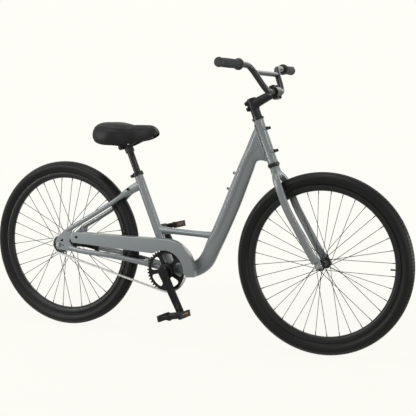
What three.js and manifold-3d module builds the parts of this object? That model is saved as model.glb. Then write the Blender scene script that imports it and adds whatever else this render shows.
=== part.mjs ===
// Step through bike: a low framed cruiser with a coaster hub, a chain guard and high rise bars.
// Millimetres, +X forward, +Y the rider's left, +Z up. The origin lies on the ground,
// midway between the wheels' contact points.

import * as THREE from 'three';
import { mergeVertices } from 'three/addons/utils/BufferGeometryUtils.js';
import Module from 'manifold-3d';

const wasm = await Module();
wasm.setup();

// Driving dimensions of the whole bike
const wheelRadius = 331;
const toeRoom = 279;
const bottomBracketDrop = 69;
const headAngle = 68.6;
const seatAngle = 67.2;
const forkOffset = 57;
const fit = 0.3;
const overrun = 5;

// Chain drive
const chainPitch = 12.7;
const chainLinks = 106;
const ringTeeth = 40;
const cogTeeth = 19;
const chainLine = 44;
const chainSize = { insideWidth: 3.5, plate: 2.2, height: 8, rung: 4.5 };
const toothSize = { rise: 3.6, root: 4.3, tip: 1.6, foot: 7.2 };
const ringSize = { thickness: 2.6, spider: 7.6, spiderRadius: 31, windowInner: 33, windowOuter: 67,
  arm: 17 };
const cogSize = { thickness: 2.4, driverRadius: 16, driverEnd: 52, driverStart: 37.4 };

// Frame
const headTube = { length: 168, radius: 18.6, bore: 15.6 };
const seatTube = { aboveWheel: 66, radius: 17.45, boreDepth: 215 };
const shell = { width: 68, radius: 24, bore: 17 };
const downTube = { halfWidth: 22, squareness: 2.7 };
const strut = { radius: 12, seatHeight: 163 };
const stay = { halfHeight: 10.5, halfWidth: 7.5, upperHeight: 9.5, crown: 17, crownWidth: 10, below: 57,
  tyreGap: 5 };
const dropout = { size: 100, thickness: 6, slot: 10.6, eyelet: 3.2, corner: 9 };
const bridge = { radius: 7 };
const rackBoss = { radius: 5.6, upper: 128, lower: 41, side: 12, reach: 24 };
const bottleBoss = { radius: 6.5, spacing: 64, proud: 6.8, sink: 6 };
const stayBoss = { radius: 6, side: 24, above: 20.9 };

// Headset, fork and stem, stacked along the steering axis
const headset = { race: 3, raceRadius: 19, lowerCup: 13.4, upperCup: 17.4, radius: 22.4, spacer: 20.6,
  spacerRadius: 17.5 };
const fork = { crownRoom: 55, steererRadius: 14.3, steererBore: 12, crownRadius: 18, legSide: 51,
  legDeep: 14, legWide: 11 };
const forkEnd = { thickness: 5, slot: 10.6, halfHeight: 15, halfWidth: 13 };
const stem = { height: 41, radius: 19, reach: 95, rise: 11, barClamp: 21, clampWidth: 46, cap: 4,
  capRadius: 17 };
const faceplate = { split: 2, thickness: 7, boltRadius: 3.6, boltLength: 12 };

// Handlebar and grips
const bar = { radius: 11.1, clampRadius: 12.7, clampHalf: 32, width: 693, crossRadius: 9 };
const barRise = 91;
const barSweep = 70;
const grip = { length: 140, radius: 16.5, flange: 20.5, flangeLength: 7, inner: 11.9 };

// Wheels
const rim = { depth: 22, well: 10, width: 30, wall: 2.5, valveHole: 3.6 };
const tyre = { width: 54, height: 45, bead: 3, seat: 7, tread: 4.5 };
const tube = { valveRadius: 3, valveLength: 40 };
const wheelSides = 36;
const spoke = { count: 36, radius: 1, crosses: 3, spread: 1.5, rimSpread: 3 };
const axle = { radius: 5, collar: 9, bore: 5.6 };
const frontHub = { over: 100, flange: 33, flangeRadius: 20, body: 11, end: 47, endRadius: 12, plate: 4.6,
  nutEnd: 66 };
const rearHub = { over: 110, flange: 29, flangeRadius: 32, body: 21, end: 46, endRadius: 15, plate: 4.8,
  nutEnd: 72 };
// Where the sprocket's driver meets the rear hub, right of the middle
const driverGap = 37;
const nut = { radius: 8.7, flange: 10.5, flangeHeight: 2, height: 8 };
const brakeArm = { thickness: 3, width: 15, length: 108, strap: 14, strapWidth: 13, strapWall: 1.6 };

// Crankset and pedals
const crank = { length: 170, angle: 27.8, inside: 69, thickness: 14.5, bossRadius: 18, middle: 15,
  endRadius: 14 };
const spindle = { radius: 8.4, bolt: 6.6, recess: 1.5, boss: 14.6 };
const cup = { flange: 21, flangeThickness: 3.2, depth: 20, bore: 9.5 };
const pedal = { length: 100, width: 84, height: 24, corner: 9, tilt: 12, frame: 12, barrel: 12, axle: 6.2,
  start: 92 };
const reflector = { length: 46, height: 11, depth: 4 };

// Chain guard
const guard = { outer: 124, inner: 81, face: 64.2, wall: 1.8, lipEnd: 38, rear: 419, lower: 82, tip: 14,
  lipRear: 372 };
const guardTab = { width: 18, drop: 19, boltIn: 25, boltDrop: 19 };

// Saddle, post and collar
const post = { radius: 13.6, insertion: 150, shown: 111 };
const collar = { radius: 21.5, height: 15, over: 3, ear: 12, earWidth: 17, slit: 3, bolt: 2.8 };
const saddle = { length: 254, width: 204, height: 88, back: 101, rise: 9.5 };
const saddleBase = { thickness: 5, inset: 3 };
const rail = { radius: 3.5, side: 22, height: 9 };
const clamp = { height: 25, half: 17.5, cheek: 7, cheekRadius: 11, behind: 21, rise: 4, barrel: 9,
  bolt: 3.6, wall: 4 };

// Small fasteners: head radius, head height, shank radius, shank length
const rackBolt = { head: 5.4, height: 6, shank: 2.6, length: 9 };
const bottleBolt = { head: 4.6, height: 4, shank: 2.3, length: 9 };
const guardBolt = { head: 4.8, height: 3, shank: 2.3, length: 8 };
const pinchBolt = { head: 4.4, height: 5, shank: 2.4, length: 10 };

// Finishes
const finish = (color, roughness, metalness) =>
  new THREE.MeshStandardMaterial({ color, roughness, metalness });
const paint = finish(0x7f8989, 0.45, 0.1);
const blackMetal = finish(0x202122, 0.4, 0.5);
const blackSteel = finish(0x17181a, 0.45, 0.7);
const blackRubber = finish(0x1d1e1f, 0.85, 0);
const charcoal = finish(0x3a3b3c, 0.8, 0);
const zinc = finish(0xb4b6b8, 0.3, 0.9);
const chainSteel = finish(0x8f9192, 0.35, 0.85);
const vinyl = finish(0x2b2c2d, 0.6, 0);
const plastic = finish(0x222324, 0.55, 0);
const amber = finish(0xd08a3c, 0.25, 0);

const radians = Math.PI / 180;
const at = (x, y, z) => new THREE.Vector3(x, y, z);
const yAxis = at(0, 1, 0);

// A closed geometry as a solid: corners are welded, empty triangles dropped, faces turned outward
function toSolid(geometry) {
  const bare = geometry.clone();
  bare.deleteAttribute('normal');
  bare.deleteAttribute('uv');
  const welded = mergeVertices(bare);
  const point = (corner) => new THREE.Vector3().fromBufferAttribute(welded.attributes.position, corner);
  const triangles = [];
  let volume = 0;
  for (let i = 0; i < welded.index.count; i += 3) {
    const [a, b, c] = [0, 1, 2].map((k) => welded.index.getX(i + k));
    if (a === b || b === c || c === a) continue;
    triangles.push([a, b, c]);
    volume += point(a).dot(point(b).cross(point(c)));
  }
  const corners = triangles.flatMap(([a, b, c]) => (volume > 0 ? [a, b, c] : [a, c, b]));
  const vertProperties = new Float32Array(welded.attributes.position.array);
  return new wasm.Manifold(new wasm.Mesh({ numProp: 3, vertProperties,
    triVerts: new Uint32Array(corners) }));
}

function toGeometry(solid) {
  const mesh = solid.getMesh();
  const geometry = new THREE.BufferGeometry();
  geometry.setAttribute('position', new THREE.BufferAttribute(mesh.vertProperties, 3));
  geometry.setIndex(new THREE.BufferAttribute(mesh.triVerts, 1));
  geometry.computeVertexNormals();
  return geometry;
}

const join = (...shapes) => toGeometry(shapes.map(toSolid).reduce((sum, next) => sum.add(next)));
const cut = (shape, ...tools) =>
  toGeometry(tools.map(toSolid).reduce((rest, tool) => rest.subtract(tool), toSolid(shape)));

function part(group, name, shape, material) {
  const mesh = new THREE.Mesh(join(shape), material);
  mesh.name = name;
  group.add(mesh);
  return mesh;
}

// A round or many sided rod between two points
function rod(from, to, radius, sides, endRadius = radius) {
  const along = to.clone().sub(from);
  const turn = new THREE.Quaternion().setFromUnitVectors(yAxis, along.clone().normalize());
  const middle = from.clone().add(to).multiplyScalar(0.5);
  return new THREE.CylinderGeometry(endRadius, radius, along.length(), sides)
    .applyQuaternion(turn)
    .translate(middle.x, middle.y, middle.z);
}

const block = (x, y, z, centre) => new THREE.BoxGeometry(x, y, z).translate(centre.x, centre.y, centre.z);

// Revolved profiles of [radius, height]: about Y for what spins on an axle, about Z for the rest
const spun = (profile, sides) =>
  new THREE.LatheGeometry(profile.map(([radius, height]) => new THREE.Vector2(radius, height)), sides);
const turned = (profile, sides) => spun(profile, sides).rotateX(Math.PI / 2);

// A profile drawn in X and Z and given a thickness along Y
function sidePlate(shape, from, to, curveSegments = 6) {
  const depth = Math.abs(to - from);
  return new THREE.ExtrudeGeometry(shape, { depth, bevelEnabled: false, curveSegments })
    .rotateX(Math.PI / 2)
    .translate(0, Math.max(from, to), 0);
}

// A closed outline of [x, z] corners, each rounded by the given radius
function rounded(corners, radius) {
  const points = corners.map(([x, z]) => new THREE.Vector2(x, z));
  const shape = new THREE.Shape();
  points.forEach((corner, i) => {
    const before = points[(i + points.length - 1) % points.length];
    const after = points[(i + 1) % points.length];
    const reach = (other) => Math.min(radius, corner.distanceTo(other) / 2);
    const start = before.clone().sub(corner).setLength(reach(before)).add(corner);
    const end = after.clone().sub(corner).setLength(reach(after)).add(corner);
    if (i === 0) shape.moveTo(start.x, start.y);
    else shape.lineTo(start.x, start.y);
    shape.quadraticCurveTo(corner.x, corner.y, end.x, end.y);
  });
  return shape;
}

// A superellipse of points about a centre; squareness 2 is an ellipse
function oval(centre, u, v, sides, squareness = 2) {
  const bend = (value) => Math.sign(value) * Math.abs(value) ** (2 / squareness);
  return Array.from({ length: sides }, (_, k) => {
    const angle = (2 * Math.PI * (k + 0.5)) / sides;
    return centre.clone()
      .addScaledVector(u, bend(Math.cos(angle)))
      .addScaledVector(v, bend(Math.sin(angle)));
  });
}

// A skin over a row of rings, closed at both ends, or onto itself when it is a loop
function loft(rings, loop = false) {
  const count = rings[0].length;
  const index = [];
  const spans = loop ? rings.length : rings.length - 1;
  for (let i = 0; i < spans; i++) {
    const here = i * count;
    const next = ((i + 1) % rings.length) * count;
    for (let k = 0; k < count; k++) {
      const l = (k + 1) % count;
      index.push(here + k, here + l, next + l, here + k, next + l, next + k);
    }
  }
  const last = (rings.length - 1) * count;
  for (let k = 1; k + 1 < count && !loop; k++) {
    index.push(0, k + 1, k, last, last + k, last + k + 1);
  }
  const geometry = new THREE.BufferGeometry();
  const corners = rings.flat().flatMap((p) => p.toArray());
  geometry.setAttribute('position', new THREE.Float32BufferAttribute(corners, 3));
  geometry.setIndex(index);
  return geometry;
}

// A tube along a curve whose half width, along the across direction, and half height follow the way
function sweep(path, steps, sides, across, halves, squareness) {
  const rings = [];
  for (let i = 0; i <= steps; i++) {
    const way = i / steps;
    const tangent = path.getTangent(way);
    const side = across.clone().addScaledVector(tangent, -across.dot(tangent)).normalize();
    const other = tangent.clone().cross(side);
    const [wide, high] = halves(way);
    rings.push(oval(path.getPoint(way), side.multiplyScalar(wide), other.multiplyScalar(high), sides,
      squareness));
  }
  return loft(rings);
}

const curve = (points) => new THREE.CatmullRomCurve3(points, false, 'centripetal');
const blend = (from, to, way) => from + (to - from) * way;
const mirrored = (geometry) => geometry.clone().scale(1, -1, 1);

// The mirror turns a mesh inside out, which toSolid puts right
const bothSides = (geometry) => [geometry, mirrored(geometry)];

// A screw that points the given way, with the underside of its head on the seat
function bolt(seat, way, size) {
  const profile = [
    [0, -size.height], [size.head, -size.height], [size.head, 0], [size.shank, 0],
      [size.shank, size.length], [0, size.length],
  ];
  return spun(profile, 6)
    .applyQuaternion(new THREE.Quaternion().setFromUnitVectors(yAxis, way))
    .translate(seat.x, seat.y, seat.z);
}

const boltHole = (seat, way, size) =>
  rod(seat.clone().addScaledVector(way, -overrun), seat.clone().addScaledVector(way, size.length + fit),
    size.shank + fit, 6);

// The chain's path: joints counted in links round both sprockets
const ringRadius = chainPitch / (2 * Math.sin(Math.PI / ringTeeth));
const cogRadius = chainPitch / (2 * Math.sin(Math.PI / cogTeeth));

function centreDistance() {
  let distance = (chainPitch * chainLinks) / 2;
  for (let round = 0; round < 60; round++) {
    const lean = Math.asin((ringRadius - cogRadius) / distance);
    const wrapped = ringTeeth * (0.5 + lean / Math.PI) + cogTeeth * (0.5 - lean / Math.PI);
    const straight = ((chainLinks - wrapped) * chainPitch) / 2;
    distance = Math.hypot(straight, ringRadius - cogRadius);
  }
  return distance;
}

const chainstayLength = centreDistance();
const rearCentre = Math.sqrt(chainstayLength ** 2 - bottomBracketDrop ** 2);
const wheelbase = rearCentre + wheelRadius + toeRoom;
const rearAxle = at(-wheelbase / 2, 0, wheelRadius);
const frontAxle = at(wheelbase / 2, 0, wheelRadius);
const bracket = at(rearAxle.x + rearCentre, 0, wheelRadius - bottomBracketDrop);

const steerUp = at(-Math.cos(headAngle * radians), 0, Math.sin(headAngle * radians));
const steerAhead = at(Math.sin(headAngle * radians), 0, Math.cos(headAngle * radians));
const steerFoot = frontAxle.clone().addScaledVector(steerAhead, -forkOffset);
const onSteer = (along, ahead = 0, side = 0) =>
  steerFoot.clone().addScaledVector(steerUp, along).addScaledVector(steerAhead, ahead).add(at(0, side, 0));

const seatUp = at(-Math.cos(seatAngle * radians), 0, Math.sin(seatAngle * radians));
const seatAhead = at(Math.sin(seatAngle * radians), 0, Math.cos(seatAngle * radians));
const seatLength = wheelRadius + seatTube.aboveWheel;
const onSeat = (along, ahead = 0, side = 0) =>
  bracket.clone().addScaledVector(seatUp, along).addScaledVector(seatAhead, ahead).add(at(0, side, 0));

// Heights up the steering axis
const level = {};
level.crown = wheelRadius + fork.crownRoom;
level.cup = level.crown + headset.race + fit;
level.tube = level.cup + headset.lowerCup + fit;
level.tubeTop = level.tube + headTube.length;
level.upperCup = level.tubeTop + fit;
level.spacer = level.upperCup + headset.upperCup + fit;
level.stem = level.spacer + headset.spacer + fit;
level.stemTop = level.stem + stem.height;
level.steererTop = level.stemTop - 3 * fit;

// The down tube in side view: upper and lower edge, as shares of the span from bracket to head tube
const span = onSteer(level.tube).sub(bracket);
const tubeShares = [
  [0.02, 0.061, 0.02, -0.055, 1],
  [0.217, 0.087, 0.192, -0.062, 1.02],
  [0.283, 0.123, 0.305, -0.028, 1.04],
  [0.334, 0.191, 0.412, 0.052, 1.03],
  [0.368, 0.274, 0.495, 0.203, 1],
  [0.421, 0.387, 0.558, 0.331, 1],
  [0.539, 0.657, 0.682, 0.602, 1],
  [0.68, 0.992, 0.812, 0.933, 0.97],
];
// The web behind the head tube, as shares of that tube's length: along and behind its axis
const webShares = [
  [0.485, 0.509, 0.163, 0.341, 0.95],
  [0.652, 0.348, 0.14, 0.215, 0.9],
  [0.815, 0.19, 0.074, 0.114, 0.78],
  [0.97, 0, 0.04, 0, 0.6],
];

const onSpan = (x, z) => at(bracket.x + x * span.x, 0, bracket.z + z * span.z);
const onWeb = (along, behind) => onSteer(level.tube + along * headTube.length, -behind * headTube.length);

function downTubeShape() {
  const section = (upper, lower, share) => {
    const centre = upper.clone().add(lower).multiplyScalar(0.5);
    const wide = at(0, downTube.halfWidth * share, 0);
    return oval(centre, upper.clone().sub(centre), wide, 14, downTube.squareness);
  };
  const low = tubeShares.map(([ux, uz, lx, lz, share]) => section(onSpan(ux, uz), onSpan(lx, lz), share));
  const high = webShares.map(([ua, ub, la, lb, share]) => section(onWeb(ua, ub), onWeb(la, lb), share));
  return loft([...low, ...high]);
}

function strutShape() {
  const flareShares = [[0, 1.5], [0.14, 1.2], [0.24, 1], [0.76, 1], [0.88, 1.15], [1, 1.6]];
  const from = onSeat(strut.seatHeight);
  const to = onSpan(0.455, 0.335);
  const along = to.clone().sub(from).normalize();
  const up = along.clone().cross(yAxis);
  const rings = flareShares.map(([way, share]) =>
    oval(from.clone().lerp(to, way), yAxis.clone().multiplyScalar(strut.radius),
      up.clone().multiplyScalar(strut.radius * share), 8));
  return loft(rings);
}

// Chainstay, seatstay and axle plate of the right side, in shares of the run from axle to bracket
const stayEnd = rearHub.over / 2 + fit + dropout.thickness / 2;
const clearOfTyre = tyre.width / 2 + stay.halfWidth + stay.tyreGap;
const onStay = (reachShare, dropShare, side) =>
  at(rearAxle.x + reachShare * wheelRadius, side, rearAxle.z - dropShare * bottomBracketDrop);

const chainstayPath = curve([
  at(bracket.x - shell.radius * 0.8, -shell.width * 0.3, bracket.z + bottomBracketDrop * 0.06),
  onStay(1.187, 0.757, -shell.width * 0.42),
  onStay(1.027, 0.639, -shell.width * 0.5),
  onStay(0.854, 0.521, -clearOfTyre),
  onStay(0.579, 0.375, -stayEnd * 0.88),
  onStay(0.304, 0.278, -stayEnd),
  onStay(0.145, 0.153, -stayEnd),
]);
const chainstayShape = sweep(chainstayPath, 7, 8, yAxis, () => [stay.halfWidth, stay.halfHeight], 2.3);

// The seat stay runs from above the axle plate round the tyre to the seat tube
const stayTop = onSeat(seatLength - stay.below);
const stayLean = Math.atan2(stayTop.z - rearAxle.z, stayTop.x - rearAxle.x);
const onSeatstay = (reachShare, degrees, side) => {
  const turn = stayLean + degrees * radians;
  return at(rearAxle.x + reachShare * wheelRadius * Math.cos(turn), side,
    rearAxle.z + reachShare * wheelRadius * Math.sin(turn));
};
const seatstayPath = curve([
  onSeatstay(0.227, 20.8, -stayEnd),
  onSeatstay(0.403, 9, -stayEnd),
  onSeatstay(0.717, 3, -stayEnd * 0.9),
  onSeatstay(0.954, 1.35, -clearOfTyre * 0.85),
  onSeatstay(1.1, 0.85, -stayBoss.side * 0.55),
  at(stayTop.x, -seatTube.radius * 0.3, stayTop.z),
]);
const seatstayShape = sweep(seatstayPath, 8, 8, yAxis, (way) =>
  [blend(stay.halfWidth, stay.crownWidth, way), blend(stay.upperHeight, stay.crown,
    Math.max(0, way * 2.4 - 1.4))], 2.3);

const dropoutShares = [
  [0.48, 0.72], [0.3, 0.62], [-0.08, 0.28], [-0.19, 0], [-0.1, -0.2],
  [0.6, -0.23], [0.64, -0.06], [0.47, 0.12], [0.62, 0.66],
];
const windowShares = [[0.04, 0.16], [0.19, 0.24], [0.19, 0.14]];

function dropoutShape() {
  const place = ([x, z]) => [rearAxle.x + x * dropout.size, rearAxle.z + z * dropout.size];
  const plate = rounded(dropoutShares.map(place), dropout.corner);
  const [eyeletX, eyeletZ] = place([0.2, -0.03]);
  const eyelet = new THREE.Path();
  eyelet.absarc(eyeletX, eyeletZ, dropout.eyelet, 0, 2 * Math.PI, true);
  const window = new THREE.Path(windowShares.map((share) => new THREE.Vector2(...place(share))));
  plate.holes.push(eyelet, window);
  const body = sidePlate(plate, -stayEnd - dropout.thickness / 2, -stayEnd + dropout.thickness / 2, 2);
  const slotLength = dropout.size / 3;
  const slotRound = (side) => at(rearAxle.x, side, rearAxle.z);
  const slot = join(
    rod(slotRound(-stayEnd - dropout.thickness), slotRound(-stayEnd + dropout.thickness),
      dropout.slot / 2, 12),
    block(slotLength, dropout.thickness * 2, dropout.slot,
      at(rearAxle.x - slotLength / 2, -stayEnd, rearAxle.z)));
  return cut(body, slot);
}

// Where the chain guard is held: a lug on the right dropout and a boss on the seat tube
const guardTop = bracket.z + guard.outer;
const guardBack = -(guard.face + guard.wall);
const guardRearBolt = at(bracket.x - guard.rear + guardTab.boltIn, guardBack, guardTop - guardTab.boltDrop);
const guardBossHeight = guard.outer - guard.wall - guardTab.drop / 2;
const guardFrontSeat = onSeat(guardBossHeight / Math.sin(seatAngle * radians), 0, -guard.lipEnd);
const bossFace = -guard.lipEnd + guard.wall + fit;

function guardLugs() {
  const [x, z, half] = [guardRearBolt.x, guardRearBolt.z, guardTab.boltIn / 2];
  const root = rearAxle.x + dropout.size * 0.4;
  const outer = -stayEnd - dropout.thickness / 2;
  const lug = sidePlate(rounded([[root, z + half], [root, z - half], [x + half, z - half],
    [x + half, z + half]], half / 2),
    outer, outer + dropout.thickness, 3);
  const spacer = rod(at(x, -stayEnd, z), at(x, -guard.face + fit, z), guardBolt.head * 1.4, 8);
  const boss = rod(at(guardFrontSeat.x, 0, guardFrontSeat.z),
    at(guardFrontSeat.x, bossFace, guardFrontSeat.z), guardBolt.head * 1.3, 8);
  return [lug, spacer, boss];
}

const rackSeats = [rackBoss.upper, rackBoss.lower].flatMap((along) =>
  [-rackBoss.side, rackBoss.side].map((side) => onSteer(level.tube + along, rackBoss.reach, side)));
const [edgeLow, edgeHigh] = tubeShares.slice(-2).map(([x, z]) => onSpan(x, z));
const bottleMiddle = edgeLow.clone().lerp(edgeHigh, 0.51);
const tubeRun = edgeHigh.clone().sub(edgeLow).normalize();
const tubeOut = at(-tubeRun.z, 0, tubeRun.x);
const bottleSeats = [0.5, -0.5].map((share) =>
  bottleMiddle.clone().addScaledVector(tubeRun, share * bottleBoss.spacing).addScaledVector(tubeOut,
    bottleBoss.proud));
const bottleIn = tubeOut.clone().negate();
const staySeats = [-1, 1].map((side) => onSeatstay(1.135, 0, side * stayBoss.side)
  .add(at(-stayBoss.above * Math.sin(stayLean), 0, stayBoss.above * Math.cos(stayLean))));

function frameShape() {
  const head = rod(onSteer(level.tube), onSteer(level.tubeTop), headTube.radius, 16);
  const seat = rod(onSeat(0), onSeat(seatLength), seatTube.radius, 16);
  const bracketShell = rod(at(bracket.x, -shell.width / 2, bracket.z),
    at(bracket.x, shell.width / 2, bracket.z), shell.radius, 16);
  const bridgeEnd = onStay(1.086, 0.68, shell.width * 0.46);
  const bridgeRod = rod(at(bridgeEnd.x, -bridgeEnd.y, bridgeEnd.z), bridgeEnd, bridge.radius, 6);
  const bosses = [
    ...rackSeats.map((seatPoint) => rod(seatPoint,
      seatPoint.clone().addScaledVector(steerAhead, -rackBoss.reach / 2), rackBoss.radius, 6)),
    ...bottleSeats.map((seatPoint) => rod(seatPoint,
      seatPoint.clone().addScaledVector(bottleIn, bottleBoss.proud + bottleBoss.sink), bottleBoss.radius,
        6)),
    ...staySeats.map((seatPoint) => rod(seatPoint, at(seatPoint.x, 0, seatPoint.z), stayBoss.radius, 6)),
  ];
  const body = join(head, seat, bracketShell, downTubeShape(), strutShape(), bridgeRod,
    ...bothSides(chainstayShape), ...bothSides(seatstayShape), ...bothSides(dropoutShape()),
      ...guardLugs(), ...bosses);
  return cut(body,
    rod(onSteer(level.tube - overrun), onSteer(level.tubeTop + overrun), headTube.bore, 12),
    rod(onSeat(seatLength - seatTube.boreDepth), onSeat(seatLength + overrun),
      post.radius + fit, 16),
    rod(at(bracket.x, -shell.width, bracket.z), at(bracket.x, shell.width, bracket.z), shell.bore, 16),
    ...rackSeats.map((seatPoint) => boltHole(seatPoint, steerAhead.clone().negate(), rackBolt)),
    ...bottleSeats.map((seatPoint) => boltHole(seatPoint, bottleIn, bottleBolt)),
    ...staySeats.map((seatPoint) => boltHole(seatPoint, at(0, -Math.sign(seatPoint.y), 0), bottleBolt)),
    boltHole(guardRearBolt, yAxis, guardBolt),
    boltHole(at(guardFrontSeat.x, bossFace, guardFrontSeat.z), yAxis, guardBolt));
}

// The guard's face follows the chainring, and its lip turns in over the chain
function guardShape() {
  const rearX = bracket.x - guard.rear;
  const lipX = bracket.x - guard.lipRear;
  const low = bracket.z + guard.lower;
  const corner = guardTab.width / 2;
  const end = -6 * radians;
  const face = new THREE.Shape();
  face.moveTo(rearX + corner, guardTop);
  face.lineTo(bracket.x, guardTop);
  face.absarc(bracket.x, bracket.z, guard.outer, Math.PI / 2, end, true);
  face.lineTo(bracket.x + (guard.inner + guard.tip) * Math.cos(end),
    bracket.z + guard.outer * Math.sin(end));
  face.absarc(bracket.x, bracket.z, guard.inner, end / 2, 0.7 * Math.PI, false);
  face.lineTo(rearX + corner, low);
  face.quadraticCurveTo(rearX, low, rearX, low + corner);
  face.lineTo(rearX, guardTop - corner);
  face.quadraticCurveTo(rearX, guardTop, rearX + corner, guardTop);
  const lip = new THREE.Shape();
  lip.moveTo(lipX, guardTop);
  lip.lineTo(bracket.x, guardTop);
  lip.absarc(bracket.x, bracket.z, guard.outer, Math.PI / 2, end, true);
  lip.absarc(bracket.x, bracket.z, guard.outer - guard.wall, end, Math.PI / 2, false);
  lip.lineTo(lipX, guardTop - guard.wall);
  const lipInside = -guard.lipEnd + guard.wall;
  const tab = sidePlate(rounded([
    [guardFrontSeat.x - corner, guardTop - guard.wall / 2],
      [guardFrontSeat.x + corner, guardTop - guard.wall / 2],
    [guardFrontSeat.x + corner, guardTop - guardTab.drop],
      [guardFrontSeat.x - corner, guardTop - guardTab.drop],
  ], corner / 2), -guard.lipEnd, lipInside, 2);
  const body = join(sidePlate(face, guardBack, -guard.face, 7), sidePlate(lip, guardBack, lipInside, 7),
    tab);
  return cut(body, boltHole(guardRearBolt, yAxis, guardBolt), boltHole(guardFrontSeat, yAxis, guardBolt));
}

// A toothed outline: gaps lie at the phase angle and every tooth after it
function toothed(radius, teeth, phase) {
  const shape = new THREE.Shape();
  const place = (angle, out, sideways) => {
    const reach = radius + out;
    const turn = angle + sideways / reach;
    return [reach * Math.cos(turn), reach * Math.sin(turn)];
  };
  for (let tooth = 0; tooth < teeth; tooth++) {
    const angle = phase + (2 * Math.PI * (tooth + 0.5)) / teeth;
    const corners = [
      place(angle, -toothSize.root, -toothSize.foot / 2),
      place(angle, toothSize.rise, -toothSize.tip / 2),
      place(angle, toothSize.rise, toothSize.tip / 2),
      place(angle, -toothSize.root, toothSize.foot / 2),
    ];
    corners.forEach(([x, z], i) => (tooth + i === 0 ? shape.moveTo(x, z) : shape.lineTo(x, z)));
  }
  return shape;
}

// Joints of the chain, from the top of the ring back over the sprocket and home below
const chainLean = Math.asin((ringRadius - cogRadius) / chainstayLength);
const chainTilt = Math.atan2(rearAxle.z - bracket.z, rearAxle.x - bracket.x);
const tangentTop = chainTilt - Math.PI / 2 + chainLean;
const tangentLow = chainTilt + Math.PI / 2 - chainLean;
const straightLinks = Math.sqrt(chainstayLength ** 2 - (ringRadius - cogRadius) ** 2) / chainPitch;
const cogPhase = tangentTop + ((Math.ceil(straightLinks) - straightLinks) * 2 * Math.PI) / cogTeeth;

function chainJoints() {
  const cogLinks = cogTeeth * (0.5 - chainLean / Math.PI);
  const spot = (centre, radius, angle) =>
    at(centre.x + radius * Math.cos(angle), -chainLine, centre.z + radius * Math.sin(angle));
  const topRing = spot(bracket, ringRadius, tangentTop);
  const topCog = spot(rearAxle, cogRadius, tangentTop);
  const lowRing = spot(bracket, ringRadius, tangentLow);
  const lowCog = spot(rearAxle, cogRadius, tangentLow);
  return Array.from({ length: chainLinks }, (_, joint) => {
    if (joint <= straightLinks) return topRing.clone().lerp(topCog, joint / straightLinks);
    const round = joint - straightLinks;
    if (round <= cogLinks) return spot(rearAxle, cogRadius, tangentTop + (round * 2 * Math.PI) / cogTeeth);
    const back = round - cogLinks;
    if (back <= straightLinks) return lowCog.clone().lerp(lowRing, back / straightLinks);
    return spot(bracket, ringRadius, tangentLow + ((back - straightLinks) * 2 * Math.PI) / ringTeeth);
  });
}

// Two side plates, bent where the joints bend, with a rung at each pin and a window for each tooth
const straightAngle = 0.01;
function chainShape() {
  const joints = chainJoints();
  const halfWidth = chainSize.insideWidth / 2 + chainSize.plate;
  const rings = joints.flatMap((joint, i) => {
    const before = joints[(i + chainLinks - 1) % chainLinks];
    const after = joints[(i + 1) % chainLinks];
    if (joint.clone().sub(before).angleTo(after.clone().sub(joint)) < straightAngle) return [];
    const out = after.clone().sub(before).cross(yAxis).setLength(chainSize.height / 2);
    const corner = (up, side) => joint.clone().addScaledVector(out, up).add(at(0, side * halfWidth, 0));
    return [[corner(1, 1), corner(1, -1), corner(-1, -1), corner(-1, 1)]];
  });
  const windows = joints.map((joint, i) => {
    const after = joints[(i + 1) % chainLinks];
    const run = after.clone().sub(joint);
    const middle = joint.clone().add(after).multiplyScalar(0.5);
    return new THREE.BoxGeometry(chainPitch - chainSize.rung, chainSize.insideWidth, chainSize.height * 1.5)
      .rotateY(-Math.atan2(run.z, run.x))
      .translate(middle.x, middle.y, middle.z);
  });
  return cut(loft(rings, true), ...windows);
}

// The toothed ring, its five armed spider and the collar that the right crank carries
function chainringShape() {
  const plate = toothed(ringRadius, ringTeeth, tangentTop);
  const [near, far] = [ringSize.windowInner, ringSize.windowOuter];
  const crankTurn = crank.angle * radians - Math.PI / 2;
  const turns = Array.from({ length: 5 }, (_, arm) => crankTurn + (arm * 2 * Math.PI) / 5);
  for (const middle of turns) {
    const corner = (radius, share) => {
      const angle = middle + share * (Math.PI / 5 - ringSize.arm / 2 / radius);
      return [radius * Math.cos(angle), radius * Math.sin(angle)];
    };
    const hole = new THREE.Path();
    hole.moveTo(...corner(near, -1));
    hole.quadraticCurveTo(...corner(far * 0.92, -1.1), ...corner(far, -0.6));
    hole.quadraticCurveTo(...corner(far * 1.04, 0), ...corner(far, 0.6));
    hole.quadraticCurveTo(...corner(far * 0.92, 1.1), ...corner(near, 1));
    plate.holes.push(hole);
  }
  const half = ringSize.thickness / 2;
  const outer = -chainLine - half - ringSize.spider;
  const toothedPlate = sidePlate(plate, -chainLine - half, -chainLine + half, 2);
  const spider = rod(at(0, outer, 0), at(0, -chainLine + half, 0), ringSize.spiderRadius, 14);
  const bore = rod(at(0, outer - overrun, 0), at(0, -chainLine + half + overrun, 0), spindle.boss + fit,
    12);
  return cut(join(toothedPlate, spider), bore);
}

function sprocketShape() {
  const half = cogSize.thickness / 2;
  const cog = sidePlate(toothed(cogRadius, cogTeeth, cogPhase), -chainLine - half, -chainLine + half, 3);
  const driver = rod(at(0, -cogSize.driverEnd, 0), at(0, -cogSize.driverStart, 0), cogSize.driverRadius,
    12);
  const bore = rod(at(0, -cogSize.driverEnd - overrun, 0), at(0, -cogSize.driverStart + overrun, 0),
    axle.bore, 12);
  return cut(join(cog, driver), bore);
}

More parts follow.
